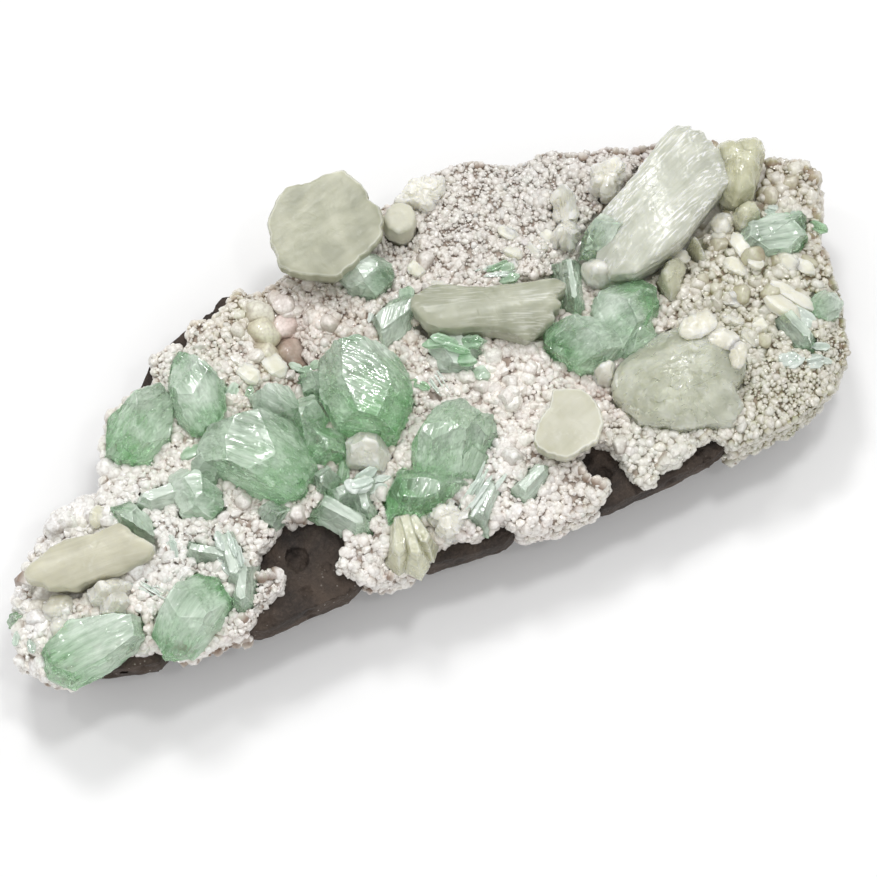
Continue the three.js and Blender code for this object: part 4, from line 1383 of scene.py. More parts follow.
@dataclass(frozen=True)
class ApophylliteCrystals:
    """The green crystals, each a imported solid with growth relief."""

    facet: float = 0.26 * MM  # longest side of their triangles
    terrace: float = 3.4 * MM  # width of the broad growth steps
    tread: float = 1.5 * MM  # width of the narrow ones
    groove: float = 0.035 * MM  # height of the fine grooves that run along the growth steps
    groove_width: float = 0.62 * MM  # width of those grooves
    ragged: float = 0.28 * MM  # height of the broken steps on their sides
    chip: float = 2.1 * MM  # width of those steps
    splinter: float = 0.9 * MM  # width of the smaller ones on them
    draw: float = 0.16  # how much patterns are drawn out along the growth steps
    crisp: float = math.radians(18)  # the bend from which their edges are shaded sharp
    seed: int = 101  # picks the random numbers

    def colour(self, plain: Surface, steep: Array, habit: GreenHabit, seed: int) -> Layers:
        """How green and how milky a crystal is.

        Formula: the green deepens in an S-shaped ease towards the habit's direction and on steep
        faces; the milk fades that way, and a frosted place takes both over within its radius.

        Args:
            plain: The crystal before its relief.
            steep: How steep it is at each point, from 0 to 1.
            habit: How it has grown.
            seed: Picks the random numbers.

        Returns:
            The layers green and milk, from 0 to 1.
        """
        middle = (plain.points.min(axis=0) + plain.points.max(axis=0)) / 2
        towards = unit(habit.heading if habit.deep is None else habit.deep)
        reach = (plain.points - middle) @ towards
        reach = reach / max(np.abs(reach).max(), TINY)
        if habit.deep is None:
            reach = 2 * np.abs(reach) - 0.9
        mottle = rough(plain.points, 4 * MM, seed + 9)
        depth = smooth_step(reach + 0.5 * mottle + 0.5 * steep, -0.1, 1.1)
        green = habit.green * (0.25 + 0.75 * depth)
        milk = habit.milk * (1 - 0.6 * smooth_step(reach, 0, 0.9)) * (1.1 - 0.4 * steep)
        if habit.frost is not None:
            gap = np.hypot(*(plain.points[:, :2] / MM - habit.frost[:2]).T) / habit.frost[2]
            near = smooth_step(1.3 - gap + 0.4 * mottle, 0, 1)
            milk, green = milk + near * (0.85 - milk), green * (1 - 0.5 * near)
        return {"green": green, "milk": milk}

    def build(self, node: str, habit: GreenHabit, seed: int) -> tuple[Surface, Layers]:
        """One crystal.

        Formula: level plateaus at two sizes with short straight ramps between them, both drawn out
        along the heading, over a mosaic of facets that are hardly tilted; grooves are the same
        plateaus, narrow and long; the steeper a face, the higher the blunt steps that make its
        sides ragged.

        Args:
            node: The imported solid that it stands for.
            habit: How it has grown.
            seed: Picks the random numbers.

        Returns:
            Its surface, and the layers that its finish reads.
        """
        plain = seen_surface(node, self.facet)
        # where the finish paints a highlight: the crystal's edges, broken into patches by noise
        edge = plain.bends() * smooth_step(rough(plain.points, 1.7 * MM, seed + 31), -0.1, 0.4)
        plain = plain.eased(habit.ease)
        steep = 1 - plain.normals()[:, 2].clip(0, 1)
        way = crystal_way(plain.points, habit.heading, 0, self.draw)
        blocks = way * (2.4, 1, 1.3)
        rise = 0.8 * habit.step * MM * swells(blocks, self.terrace, seed, 0.06)
        rise += 0.3 * habit.step * MM * swells(blocks, self.tread, seed + 3, 0.1)
        rise += self.groove * swells(way, self.groove_width, seed + 5, 0.2)
        rise += facets(blocks, 3.6 * MM, 0.03, seed + 13) + facets(blocks, 1.3 * MM, 0.05, seed + 21)
        rise += self.ragged * steep * swells(plain.points, self.chip, seed + 25, 0.07)
        rise += 0.5 * self.ragged * steep * swells(blocks, self.splinter, seed + 27, 0.1)
        layers = self.colour(plain, steep, habit, seed)
        return plain.pushed(rise), {"way": way, **layers, "edge": edge}

    def dress(self) -> None:
        """Puts every green crystal into the scene."""
        finish = GreenGlass("apophyllite_glass").material()
        for number, (name, habit) in enumerate(GREEN_CRYSTALS.items()):
            node, piece_name = f"apophyllite_{name}", f"{name}_green"
            shape, layers = self.build(node, habit, self.seed + 20 * number)
            piece = make_piece(piece_name, shape, "apophyllite", finish, crisp=self.crisp, **layers)
            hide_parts(node)


def flat_cross(one: Array, two: Array) -> Array:
    """The area that two level vectors span: x1 * y2 - y1 * x2."""
    return one[..., 0] * two[..., 1] - one[..., 1] * two[..., 0]


def quadratic(x: Array, y: Array) -> Array:
    """The six terms of a quadratic in x and y."""
    return np.stack([np.ones_like(x), x, y, x * x, x * y, y * y], axis=-1)


@dataclass(frozen=True)
class Cushion:
    """A crystal as its outline from above, carried over a rounded profile."""

    square: float  # how square the profile is: 2 is a dome, 10 nearly a slab
    waist: float  # height of the widest level, as a share of the whole height
    under: float  # how far the side draws in below it, as a share of the radius
    soften: float  # how far along the outline corners are rounded, in millimetres
    notch: float  # depth of the small notches all around it, in millimetres

    def outline(self, sides: Array, middle: Array, around: Array) -> Array:
        """How far some sides reach from the middle, seen from above.

        Formula: the farthest crossing of each direction's ray with the sides, laid flat.

        Args:
            sides: Two end points a side.
            middle: Where the rays start.
            around: Their directions.

        Returns:
            One length a direction.
        """
        ray = around[:, None, :2]
        start = (sides[:, 0, :2] - middle[:2])[None]
        side = (sides[:, 1] - sides[:, 0])[None]
        cross = flat_cross(ray, side)
        cross = np.where(np.abs(cross) < 1e-12, 1e-12, cross)
        share = flat_cross(start, ray) / cross
        return np.where((share >= 0) & (share <= 1), flat_cross(start, side) / cross, 0).max(axis=1)

    def rim(self, reach: Array, middle: Array, around: Array, facet: float) -> Array:
        """The outline with rounded corners and small notches.

        Args:
            reach: How far the plain outline reaches in each direction.
            middle: Where it is measured from.
            around: The directions.
            facet: Size of the surface's steps.

        Returns:
            One length a direction.
        """
        for _ in range(max(1, int(self.soften * MM / facet * 2))):
            reach = (np.roll(reach, 1) + 2 * reach + np.roll(reach, -1)) / 4
        at = middle + around * reach[:, None]
        notches = swells(at, 1.9 * MM, 5, 0.12) + 0.5 * swells(at, 0.8 * MM, 6, 0.2)
        return reach + self.notch * MM * notches

    def profile(self, radius: float, tall: float, facet: float) -> tuple[Array, Array]:
        """The radial profile in even steps, from the top's middle to the base's.

        Formula: share**square + height**square = 1 above the waist, and a straight side that draws
        in to a flat foot below it.

        Args:
            radius: The crystal's radius.
            tall: Its height.
            facet: Length of the steps.

        Returns:
            Shares of the radius, and heights above the foot.
        """
        share = np.sin(np.linspace(0, math.pi / 2, 400)) ** (2 / self.square)
        share = np.concatenate([np.linspace(0, share[1], 40)[:-1], share[1:]])
        arch = (1 - share**self.square).clip(0, 1) ** (1 / self.square)
        level = self.waist * tall
        shares = np.concatenate([share, [1 - self.under, 0]])
        heights = np.concatenate([level + (tall - level) * arch, [0, 0]])
        length = np.hypot(np.diff(shares) * radius, np.diff(heights)).cumsum()
        length = np.concatenate([[0], length])
        steps = np.linspace(0, length[-1], max(12, int(length[-1] / facet)))
        return np.interp(steps, length, shares), np.interp(steps, length, heights)

    def build(self, solid: Surface, facet: float, corners: tuple[tuple[float, float], ...]) -> Surface:
        """The closed surface: position = middle + share * outline in each direction.

        Formula: the heights are the profile's, tilted and bent as the best quadratic through the
        solid's upper faces is.

        Args:
            solid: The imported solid.
            facet: Size of the surface's steps.
            corners: The outline's corners in millimetres, or none for the solid's own.

        Returns:
            The surface.
        """
        low, high = solid.points.min(axis=0), solid.points.max(axis=0)
        middle, foot = (low + high) / 2, low[2]
        radius = np.linalg.norm((high - low)[:2]) / 2 * 0.8
        sides = solid.points[solid.sides()[0]]
        if corners:
            ring = np.array(corners) * MM
            sides = np.stack([ring, np.roll(ring, 1, axis=0)], axis=1)
        around = compass(max(24, int(2 * math.pi * radius / facet)))
        reach = self.rim(self.outline(sides, middle, around), middle, around, facet)
        fine = solid.refined(0.9 * MM)
        upper = fine.points[fine.normals()[:, 2] > 0.75]
        terms = quadratic(*((upper - middle)[:, :2] / radius).T)
        curve = np.linalg.lstsq(terms, upper[:, 2] - foot, rcond=None)[0]
        shares, heights = self.profile(radius, curve[0], facet)
        flat = shares[1:-1, None, None] * (around[:, :2] * reach[:, None])[None]
        tilt = (quadratic(flat[..., 0] / radius, flat[..., 1] / radius) * curve)[..., 1:].sum(axis=-1)
        height = heights[1:-1, None]
        height = height + tilt * (height / curve[0]) ** 2
        grid = np.concatenate([flat + middle[:2], height[..., None] + foot], axis=2)
        caps = np.array([[*middle[:2], foot + curve[0]], [*middle[:2], foot]])
        points = np.vstack([grid.reshape(-1, 3), caps])
        return Surface(points, tube_skin(len(grid), len(around), True))


class BladeLook(Enum):
    """The finishes that stilbite has on this specimen."""

    OLIVE = PearlyBlade(
        "stilbite_olive", (0.53, 0.53, 0.40), (0.41, 0.42, 0.29), 0.32, 0.36,
        pearl=0.1, silk=0.0, bloom=0.22, ribs=0.004 * MM, grain=0.01 * MM,
    )
    TIE = PearlyBlade(
        "stilbite_tie", (0.55, 0.56, 0.44), (0.46, 0.48, 0.35), 0.3, 0.36,
        pearl=0.15, silk=0.35, bloom=0.15, ribs=0.003 * MM, grain=0.006 * MM,
    )
    PEARL = PearlyBlade(
        "stilbite_pearl", (0.76, 0.77, 0.68), (0.63, 0.65, 0.54), 0.25, 0.3,
        pearl=0.5, silk=1.0, bloom=0.35, ribs=0.04 * MM, fibre=0.7,
    )
    YELLOW = PearlyBlade(
        "stilbite_yellow", (0.78, 0.78, 0.59), (0.64, 0.63, 0.42), 0.35, 0.24,
        pearl=0.6, silk=0.15, bloom=0.35, grain=0.06 * MM, polish=0.08,
    )
    FROSTED = PearlyBlade(
        "stilbite_frosted", (0.84, 0.86, 0.73), (0.71, 0.74, 0.57), 0.5, 0.3,
        pearl=0.5, silk=0.1, bloom=0.45, ribs=0.01 * MM, grain=0.07 * MM, polish=0.1,
    )
    CREAM = PearlyBlade(
        "stilbite_cream", (0.69, 0.67, 0.53), (0.57, 0.55, 0.42), 0.15, 0.4,
        pearl=0.12, silk=0.1, bloom=0.25, ribs=0.01 * MM, fibre=0.45,
    )
    CHALK = PearlyBlade(
        "stilbite_chalk", (0.63, 0.62, 0.51), (0.53, 0.52, 0.39), 0.1, 0.5,
        pearl=0.05, silk=0.0, bloom=0.3, ribs=0.004 * MM,
    )
    WHITE = PearlyBlade(
        "stilbite_white", (0.86, 0.84, 0.76), (0.76, 0.74, 0.65), 0.1, 0.3,
        pearl=0.4, silk=0.2, bloom=0.6, grain=0.03 * MM, polish=0.12,
    )


@dataclass(frozen=True)
class BladeHabit:
    """How one stilbite crystal or sheaf has grown."""

    look: BladeLook  # its finish
    heading: float  # direction of its fibres, in degrees from +X
    shape: Cushion | None  # its rounded form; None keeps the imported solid's facets
    knobs: float = 0.0  # height of its granular relief, in millimetres
    tone: float = 0.0  # lighter above 0, darker below
    ribs: float = 0.0  # height of its ribs, in millimetres
    teeth: float = 0.0  # length of the teeth at its ends, in millimetres
    flare: float = 0.0  # how much its fibres spread towards the ends
    # corners of its outline from above, in millimetres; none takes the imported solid's own outline
    outline: tuple[tuple[float, float], ...] = ()


SLAB_LIKE = Cushion(30, 0.75, 0.25, 0.15, 0.18)
LEAF_LIKE = Cushion(14, 0.65, 0.2, 0.15, 0.12)
CRAGGY = Cushion(5.0, 0.3, 0.05, 0.15, 0.55)
LUMPY = Cushion(3.0, 0.2, 0.02, 0.3, 0.3)
BLOCKY = Cushion(7, 0.5, 0.1, 0.2, 0.1)
SHEAF_LIKE = Cushion(12, 0.6, 0.1, 0.15, 0.12)
PEARLY_OUTLINE = (
    (40.4, 3.0), (42.6, 8.4), (45.2, 10.6), (53.4, 14.0), (61.6, 18.4), (63.4, 19.0), (66.8, 16.2),
    (69.0, 11.8), (68.0, 6.4), (60.6, 2.6), (55.6, -0.6), (50.0, -2.0), (44.6, -2.6), (41.4, -1.0),
)
TIE_OUTLINE = (
    (8.3, 10.0), (10.6, 10.6), (13.1, 10.8), (15.4, 9.3), (17.3, 7.8), (20.3, 6.2), (25.6, 4.4),
    (32.0, 2.5), (33.0, 0.6), (31.9, -0.5), (30.5, -0.8), (30.9, -2.2), (28.8, -2.8), (28.8, -4.0),
    (27.2, -4.2), (24.8, -5.0), (22.7, -5.1), (21.6, -3.4), (18.5, -1.4), (15.4, 0.0), (12.5, 1.1),
    (10.1, 2.3), (8.4, 3.9), (7.8, 5.5), (7.6, 7.9),
)
PLATE_OUTLINE = (
    (-3.5, 37.3), (1.3, 36.4), (3.6, 36.7), (6.7, 36.1), (8.0, 34.1), (9.0, 31.9), (8.8, 29.3),
    (9.9, 27.2), (9.3, 24.2), (7.6, 21.6), (1.5, 19.2), (-2.1, 18.3), (-6.8, 21.0), (-9.2, 22.5),
    (-10.3, 24.5), (-9.9, 27.2), (-10.2, 29.1), (-9.1, 30.2), (-9.1, 32.3), (-5.8, 35.6),
)
ROUND_OUTLINE = (
    (22.7, -15.4), (26.0, -16.8), (27.4, -17.9), (28.1, -19.5), (28.6, -21.2), (28.1, -23.2),
    (28.1, -24.5), (25.8, -26.8), (21.4, -27.6), (19.3, -27.6), (16.8, -25.3), (15.9, -23.6),
    (16.0, -22.2), (18.8, -19.1), (20.9, -18.3), (21.9, -17.2),
)
LEAF_OUTLINE = (
    (-53.2, -6.2), (-57.6, -6.2), (-59.9, -5.6), (-62.5, -5.1), (-65.2, -5.4), (-67.9, -6.4),
    (-69.9, -7.4), (-70.8, -8.6), (-70.1, -9.6), (-68.4, -10.6), (-68.2, -11.6), (-66.5, -12.2),
    (-63.8, -13.4), (-61.2, -13.1), (-56.9, -13.9), (-50.6, -13.6), (-49.0, -12.6), (-50.5, -10.8),
    (-51.3, -9.7),
)
BLOCK_OUTLINE = (
    (68.2, 13.8), (70.8, 13.9), (73.8, 13.0), (76.4, 12.6), (77.2, 11.3), (76.3, 9.0), (74.4, 7.2),
    (73.8, 5.6), (72.3, 4.6), (71.7, 3.3), (69.1, 2.9), (67.4, 2.8), (66.4, 4.9), (66.9, 8.6),
    (67.7, 11.9),
)
FOOT_OUTLINE = (
    (37.4, 2.4), (38.3, 4.1), (40.2, 5.0), (42.7, 4.6), (44.6, 2.8), (44.8, 0.8), (42.9, -0.6), (40.2, -0.8),
    (38.0, 0.4),
)

CREAM_CRYSTALS = {
    "big_plate": BladeHabit(BladeLook.OLIVE, 12, SLAB_LIKE, 0.01, flare=0.1, outline=PLATE_OUTLINE),
    "plate_lobe": BladeHabit(BladeLook.CHALK, 30, BLOCKY, 0.06, 0.3),
    "pearly_sheaf": BladeHabit(BladeLook.PEARL, 20, SHEAF_LIKE, 0.03, 0, 0.09, 0.6, 0.15, PEARLY_OUTLINE),
    "bow_tie": BladeHabit(BladeLook.TIE, -20, SHEAF_LIKE, 0.012, 0, 0.004, 0.3, 0.35, TIE_OUTLINE),
    "yellow_block": BladeHabit(BladeLook.YELLOW, 60, LUMPY, 0.09, 0, 0.04, 0.1, 0.1, BLOCK_OUTLINE),
    "yellow_knob": BladeHabit(BladeLook.YELLOW, 0, LUMPY, 0.1, 0.1),
    "yellow_middle": BladeHabit(BladeLook.YELLOW, 0, LUMPY, 0.1, 0.15),
    "yellow_lower": BladeHabit(BladeLook.YELLOW, 0, LUMPY, 0.1, 0.15),
    "dome": BladeHabit(BladeLook.FROSTED, 0, LUMPY, 0.11, 0.1, 0.02),
    "dome_knob": BladeHabit(BladeLook.WHITE, 0, LUMPY, 0.1),
    "round_plate": BladeHabit(BladeLook.CHALK, 20, SLAB_LIKE, 0.02, 0.06, outline=ROUND_OUTLINE),
    "leaf": BladeHabit(BladeLook.CREAM, -3, LEAF_LIKE, 0.015, 0, 0.015, 0.3, 0.3, LEAF_OUTLINE),
    "cream_pair": BladeHabit(BladeLook.WHITE, 60, None, 0.12, -0.05),
    "sheaf_foot": BladeHabit(BladeLook.WHITE, 10, LUMPY, 0.1, 0.1, outline=FOOT_OUTLINE),
    "white_twin": BladeHabit(BladeLook.WHITE, 80, CRAGGY, 0.3),
    "rim_plate": BladeHabit(BladeLook.WHITE, 10, CRAGGY, 0.3),
    "white_oval": BladeHabit(BladeLook.WHITE, 70, CRAGGY, 0.3),
    "foot_plate": BladeHabit(BladeLook.WHITE, 0, CRAGGY, 0.3),
    "foot_fan": BladeHabit(BladeLook.YELLOW, -100, None, 0.05, 0.1, 0.05, 0.2, 0.1),
    "clear_cream": BladeHabit(BladeLook.WHITE, 70, None, 0.1, 0.1, 0.06, 0.1),
}


@dataclass(frozen=True)
class StilbiteCrystals:
    """The cream crystals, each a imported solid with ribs, teeth and grains."""

    facet: float = 0.38 * MM  # longest side of their triangles
    rib: float = 1.5 * MM  # width of one rib
    tooth: float = 0.8 * MM  # width of one tooth at a crystal's end
    sheet: float = 0.16 * MM  # how far the edges of their stacked sheets stand out of their sides
    sheet_width: float = 1.1 * MM  # width of those edges
    draw: float = 0.07  # how much patterns are drawn out along the fibres
    crisp: float = math.radians(35)  # the bend from which their edges are shaded sharp
    seed: int = 701  # picks the random numbers

    def toothed(self, plain: Surface, way: Array, habit: BladeHabit, seed: int) -> Surface:
        """A crystal whose fibres end further out or less far than their neighbours.

        Args:
            plain: The crystal.
            way: Each point's place along, across and up its fibres.
            habit: How it has grown.
            seed: Picks the random numbers.

        Returns:
            The toothed surface.
        """
        share = way[:, 0] / self.draw
        share = share / max(np.abs(share).max(), TINY)
        fibres = way * (0, 1, 0.6)
        wave = rough(fibres, 2 * self.tooth, seed + 3, 2) + 0.6 * swells(fibres, self.tooth, seed + 5, 0.2)
        end = smooth_step(np.abs(share), 0.62, 0.95) * np.sign(share)
        out = (end * wave * habit.teeth * MM)[:, None] * unit(habit.heading)
        return Surface(plain.points + out, plain.triangles)

    def build(self, node: str, habit: BladeHabit, seed: int) -> tuple[Surface, Layers]:
        """One crystal.

        Formula: ribs are noise stretched along the fibres; granular relief is a bump on every cell
        of a fine druse and a mosaic of facets; the steeper a side, the more the edges of the
        stacked sheets show in it.

        Args:
            node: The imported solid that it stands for.
            habit: How it has grown.
            seed: Picks the random numbers.

        Returns:
            Its surface, and the layers that its finish reads.
        """
        # edge: where the finish paints a highlight, at the crystal's bends
        if habit.shape is None:
            plain = seen_surface(node, self.facet)
            edge = plain.bends()
            plain = plain.eased(2)
        else:
            plain = habit.shape.build(Surface.of_node(node), self.facet, habit.outline)
            edge = plain.bends()
        at = plain.points
        way = crystal_way(at, habit.heading, habit.flare, self.draw)
        ribs = rough(way, self.rib, seed, 2) + 0.6 * swells(way, 0.4 * self.rib, seed + 7, 0.25)
        rise = habit.ribs * MM * ribs
        if habit.knobs > 0:
            gap, _ = cells_near(at, 1.5 * MM, seed + 11)
            rise += habit.knobs * MM * (0.6 - gap**2 + 0.8 * rough(at, 4 * MM, seed + 13))
            rise += facets(at, 2.8 * MM, 0.8 * habit.knobs, seed + 17)
            rise += facets(at, 1.0 * MM, 1.1 * habit.knobs, seed + 19)
        steep = 1 - np.abs(plain.normals()[:, 2])
        rise += self.sheet * steep * swells(at * (0.12, 0.12, 1), self.sheet_width, seed + 23, 0.12)
        rise += 0.6 * self.sheet * steep * swells(at * (1, 1, 0.3), 1.6 * MM, seed + 29, 0.2)
        shape = self.toothed(plain, way, habit, seed).pushed(rise)
        return shape, {"way": way, "tone": np.full(len(at), habit.tone), "edge": edge}

    def dress(self) -> None:
        """Puts every cream crystal into the scene."""
        finishes = {look: look.value.material() for look in BladeLook}
        for number, (name, habit) in enumerate(CREAM_CRYSTALS.items()):
            node, finish = f"stilbite_{name}", finishes[habit.look]
            shape, layers = self.build(node, habit, self.seed + 20 * number)
            piece = make_piece(f"{name}_cream", shape, "stilbite", finish, crisp=self.crisp, **layers)
            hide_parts(node)


# Cream lobes: x, y, half length, half width, half height, heading, and 1 on a crystal or 0
# on the crust.
LOBES = (
    (50.2, -15.8, 3.5, 2.3, 1.2, 8, 1),
    (53.0, -19.4, 3.0, 2.2, 1.2, -30, 1),
    (54.2, -23.2, 2.6, 1.4, 1.2, 60, 1),
    (-67.8, -13.8, 2.8, 2.1, 1.8, -20, 0),
    (-68.6, -17.2, 1.9, 1.7, 1.7, 60, 0),
    (64.6, 1.6, 2.2, 1.9, 1.6, 40, 0),
    (57.9, 1.6, 2.0, 1.5, 1.5, 10, 0),
    (31.2, -13.4, 1.7, 1.3, 1.4, 80, 0),
)


@dataclass(frozen=True)
class CreamLobes:
    """The rounded cream lobes that sit on the bigger crystals and between them."""

    grain: float = 0.14 * MM  # height of their granular relief
    bead: float = 1.2 * MM  # width of the grains in it
    facet: float = 1.8 * MM  # width of the small facets on them
    dent: float = 0.45 * MM  # height of the bumps that make them uneven
    bump: float = 2.4 * MM  # width of those bumps
    seed: int = 1901  # picks the random numbers

    def build(self) -> tuple[Surface, Layers]:
        """All lobes as one surface.

        Formula: a ball stretched to each lobe's half lengths and turned to its heading, its middle
        on the ground, with a druse's bumps on it.

        Returns:
            The surface, and the layers that its finish reads.
        """
        table = np.array(LOBES)
        crust, top = ground_under(table[:, :3] * (MM, MM, 0))
        centre = np.column_stack([table[:, :2] * MM, np.where(table[:, 6] > 0, top, crust)])
        along = levels(np.radians(table[:, 5]))
        up = np.broadcast_to(UP, along.shape)
        axes = np.stack([along, np.cross(UP, along), up], axis=1) * table[:, 2:5, None] * MM
        shape = ball(3)
        local = (shape.points * (1, 1, 0.85)) @ axes
        lobes = Surface.of_many(local + centre[:, None], shape.triangles)
        at = lobes.points
        gap, _ = cells_near(at, self.bead, self.seed)
        rise = self.grain * (0.6 - gap**2) + facets(at, self.facet, 0.2, self.seed + 1)
        rise += self.dent * rough(at, self.bump, self.seed + 7)
        level = np.zeros(len(at))
        return lobes.pushed(rise), {"way": local.reshape(-1, 3), "tone": level + 0.05, "edge": level}

    def dress(self) -> None:
        """Puts the lobes into the scene."""
        lobes, layers = self.build()
        look = PearlyBlade(
            "stilbite_lobe", (0.86, 0.84, 0.74), (0.72, 0.69, 0.55), 0.1, 0.3,
            pearl=0.4, silk=0.0, bloom=0.5, polish=0.1,
        )
        make_piece("cream_lobes", lobes, "stilbite", look.material(), **layers)


@dataclass(frozen=True)
class Spray:
    """A handful of small crystals that grow side by side."""

    x: float  # place of their middle, in millimetres
    y: float  # the same, across the slab
    heading: float  # their common direction, in degrees from +X
    count: int  # how many they are
    length: float  # length of each, in millimetres, give or take a third
    width: float  # width of each, in millimetres, give or take a third
    fan: float = 20.0  # how far their directions stray, in degrees
    lift: float = 0.3  # how far their middles lie over the ground, in millimetres


def sprays(*rows: tuple[float, ...]) -> list[Spray]:
    """Sprays from rows of their values, in a spray's own order."""
    return [Spray(*row) for row in rows]


GREEN_SPRAYS = sprays(
    (-45.9, -2.3, -34, 1, 5.4, 1.7), (-25, 8.4, 60, 4, 3.2, 1.5, 30),
    (-34.6, 0.4, -10, 3, 4, 2.4, 25), (-28.4, -12.4, -95, 1, 5.2, 3.0),
    (-17.4, -11, 20, 4, 4, 2.6, 40), (-13.2, 5.4, -60, 2, 4.6, 3.2, 20),
    (-12.6, 9.2, -30, 4, 2.6, 1.4, 50), (2.6, -2.4, -75, 4, 4, 2, 25), (6.4, 13.4, 60, 2, 3.6, 2.4),
    (14.5, 4.6, -20, 5, 4.4, 1.8, 30), (12.6, -1.6, -10, 3, 4.2, 2.2),
    (26.4, 9.6, -20, 3, 4.0, 1.8, 15), (11.0, 1.0, -30, 5, 4.4, 1.8, 30, 0.8),
    (13.6, -2.6, -15, 4, 4.0, 2.0, 30, 0.7), (14.6, -25.6, 40, 3, 4.0, 1.6, 20),
    (-16, -16, 10, 4, 3.4, 2.2, 50), (70.4, -4.6, -40, 3, 3.0, 2.0, 40),
    (78.0, -5.6, -60, 2, 3.6, 2.2, 20), (4.8, -16.8, 30, 3, 3.4, 1.8, 30),
    (-42, -26.2, 20, 4, 3.4, 1.5, 25), (37.4, -13.4, 10, 3, 4.0, 2.2, 25),
    (4, 18.4, -15, 3, 4.6, 2.2, 20),
)
PALE_SPRAYS = sprays(
    (-46.6, -13, 60, 6, 2.6, 0.9, 40), (-52.4, -17.6, -57, 8, 4.8, 0.3, 8),
    (-75.6, -16.4, 80, 3, 2.6, 1.4), (-30.6, -8.2, -20, 3, 4.0, 2.0, 30),
    (-12.4, -16.4, -20, 7, 3.8, 1.6, 60, 0.8), (4.4, -26, 32, 9, 6.0, 0.7, 12, 0.8),
    (11.4, -28, 20, 6, 3.6, 0.7, 50), (2.6, 11.6, 75, 5, 4.6, 1.4, 20),
    (15.6, 1.6, 10, 5, 3.4, 1.0, 40), (73.6, -1.4, -20, 6, 3.4, 1.6, 50),
    (67.4, -21.4, -65, 3, 4.6, 1.6, 15), (68.8, -27.6, -10, 4, 3.2, 1.6, 40),
    (62.4, -24.4, 0, 2, 3.6, 2.4, 30), (-38.6, -17.4, -95, 5, 5.4, 1.3, 10, 0.8),
    (24, 10.2, -15, 7, 5.0, 0.35, 12), (6.6, -4.0, -80, 5, 4.4, 0.3, 14),
    (31.4, 4.6, 65, 4, 5.0, 0.9, 10), (-8.6, -20.0, -100, 5, 4.2, 1.6, 25, 0.4),
    (40.6, -10.4, -60, 5, 4.4, 1.2, 25, 0.6),
)
CREAM_SPRAYS = sprays(
    (-57.4, -12.6, 20, 2, 4.2, 2.8, 20), (-67, -13.2, 0, 4, 3.0, 2.2, 30),
    (-57.6, -25.4, 30, 1, 3.0, 2.4), (-55.8, -2.2, 60, 1, 4.0, 2.8), (-30, 14.4, -40, 1, 5.4, 2.6),
    (-19.6, 12.4, -60, 2, 4.4, 3.0, 20), (68.4, -8.4, -60, 2, 4.6, 3.0, 15),
    (66.4, -14.2, -50, 2, 7.4, 3.0, 10), (63.4, -5.2, -50, 3, 4.6, 2.6, 25),
    (60.6, -18.4, -70, 2, 4.2, 2.6, 20), (70.4, -12.0, -55, 2, 4.0, 2.6, 20),
    (52.6, -2.6, -40, 3, 4.4, 3.2, 30), (55.6, 1.4, -20, 3, 4.2, 2.6, 30),
    (75.6, 7.6, 30, 3, 3.6, 2.4, 40), (62.6, 0.6, -10, 2, 3.8, 2.8, 40),
    (47.4, -26.6, 20, 4, 3.6, 2.4, 40), (-4.4, -8.6, 40, 1, 5.0, 3.6),
    (13.6, 12.8, -20, 2, 3.6, 2.6, 30), (-25.6, -13.6, 70, 1, 3.6, 2.6),
    (28.6, 10.4, -60, 3, 3.0, 1.8, 30), (33.4, 12.4, -70, 3, 3.6, 2.0, 30),
    (30.2, 17.2, -50, 2, 3.2, 2.0, 30), (57.6, -13.2, -40, 3, 3.4, 2.0, 40),
    (17.6, 30.6, -10, 2, 5.0, 3.0, 20),
)


@dataclass(frozen=True)
class Seated:
    """Small crystals in their places, with one row for each in every array."""

    middle: Array  # their middles
    axes: tuple[Array, Array, Array]  # unit vectors along, across and up them
    length: Array  # their lengths
    width: Array  # their widths
    shown: Array  # which of them stand on open ground


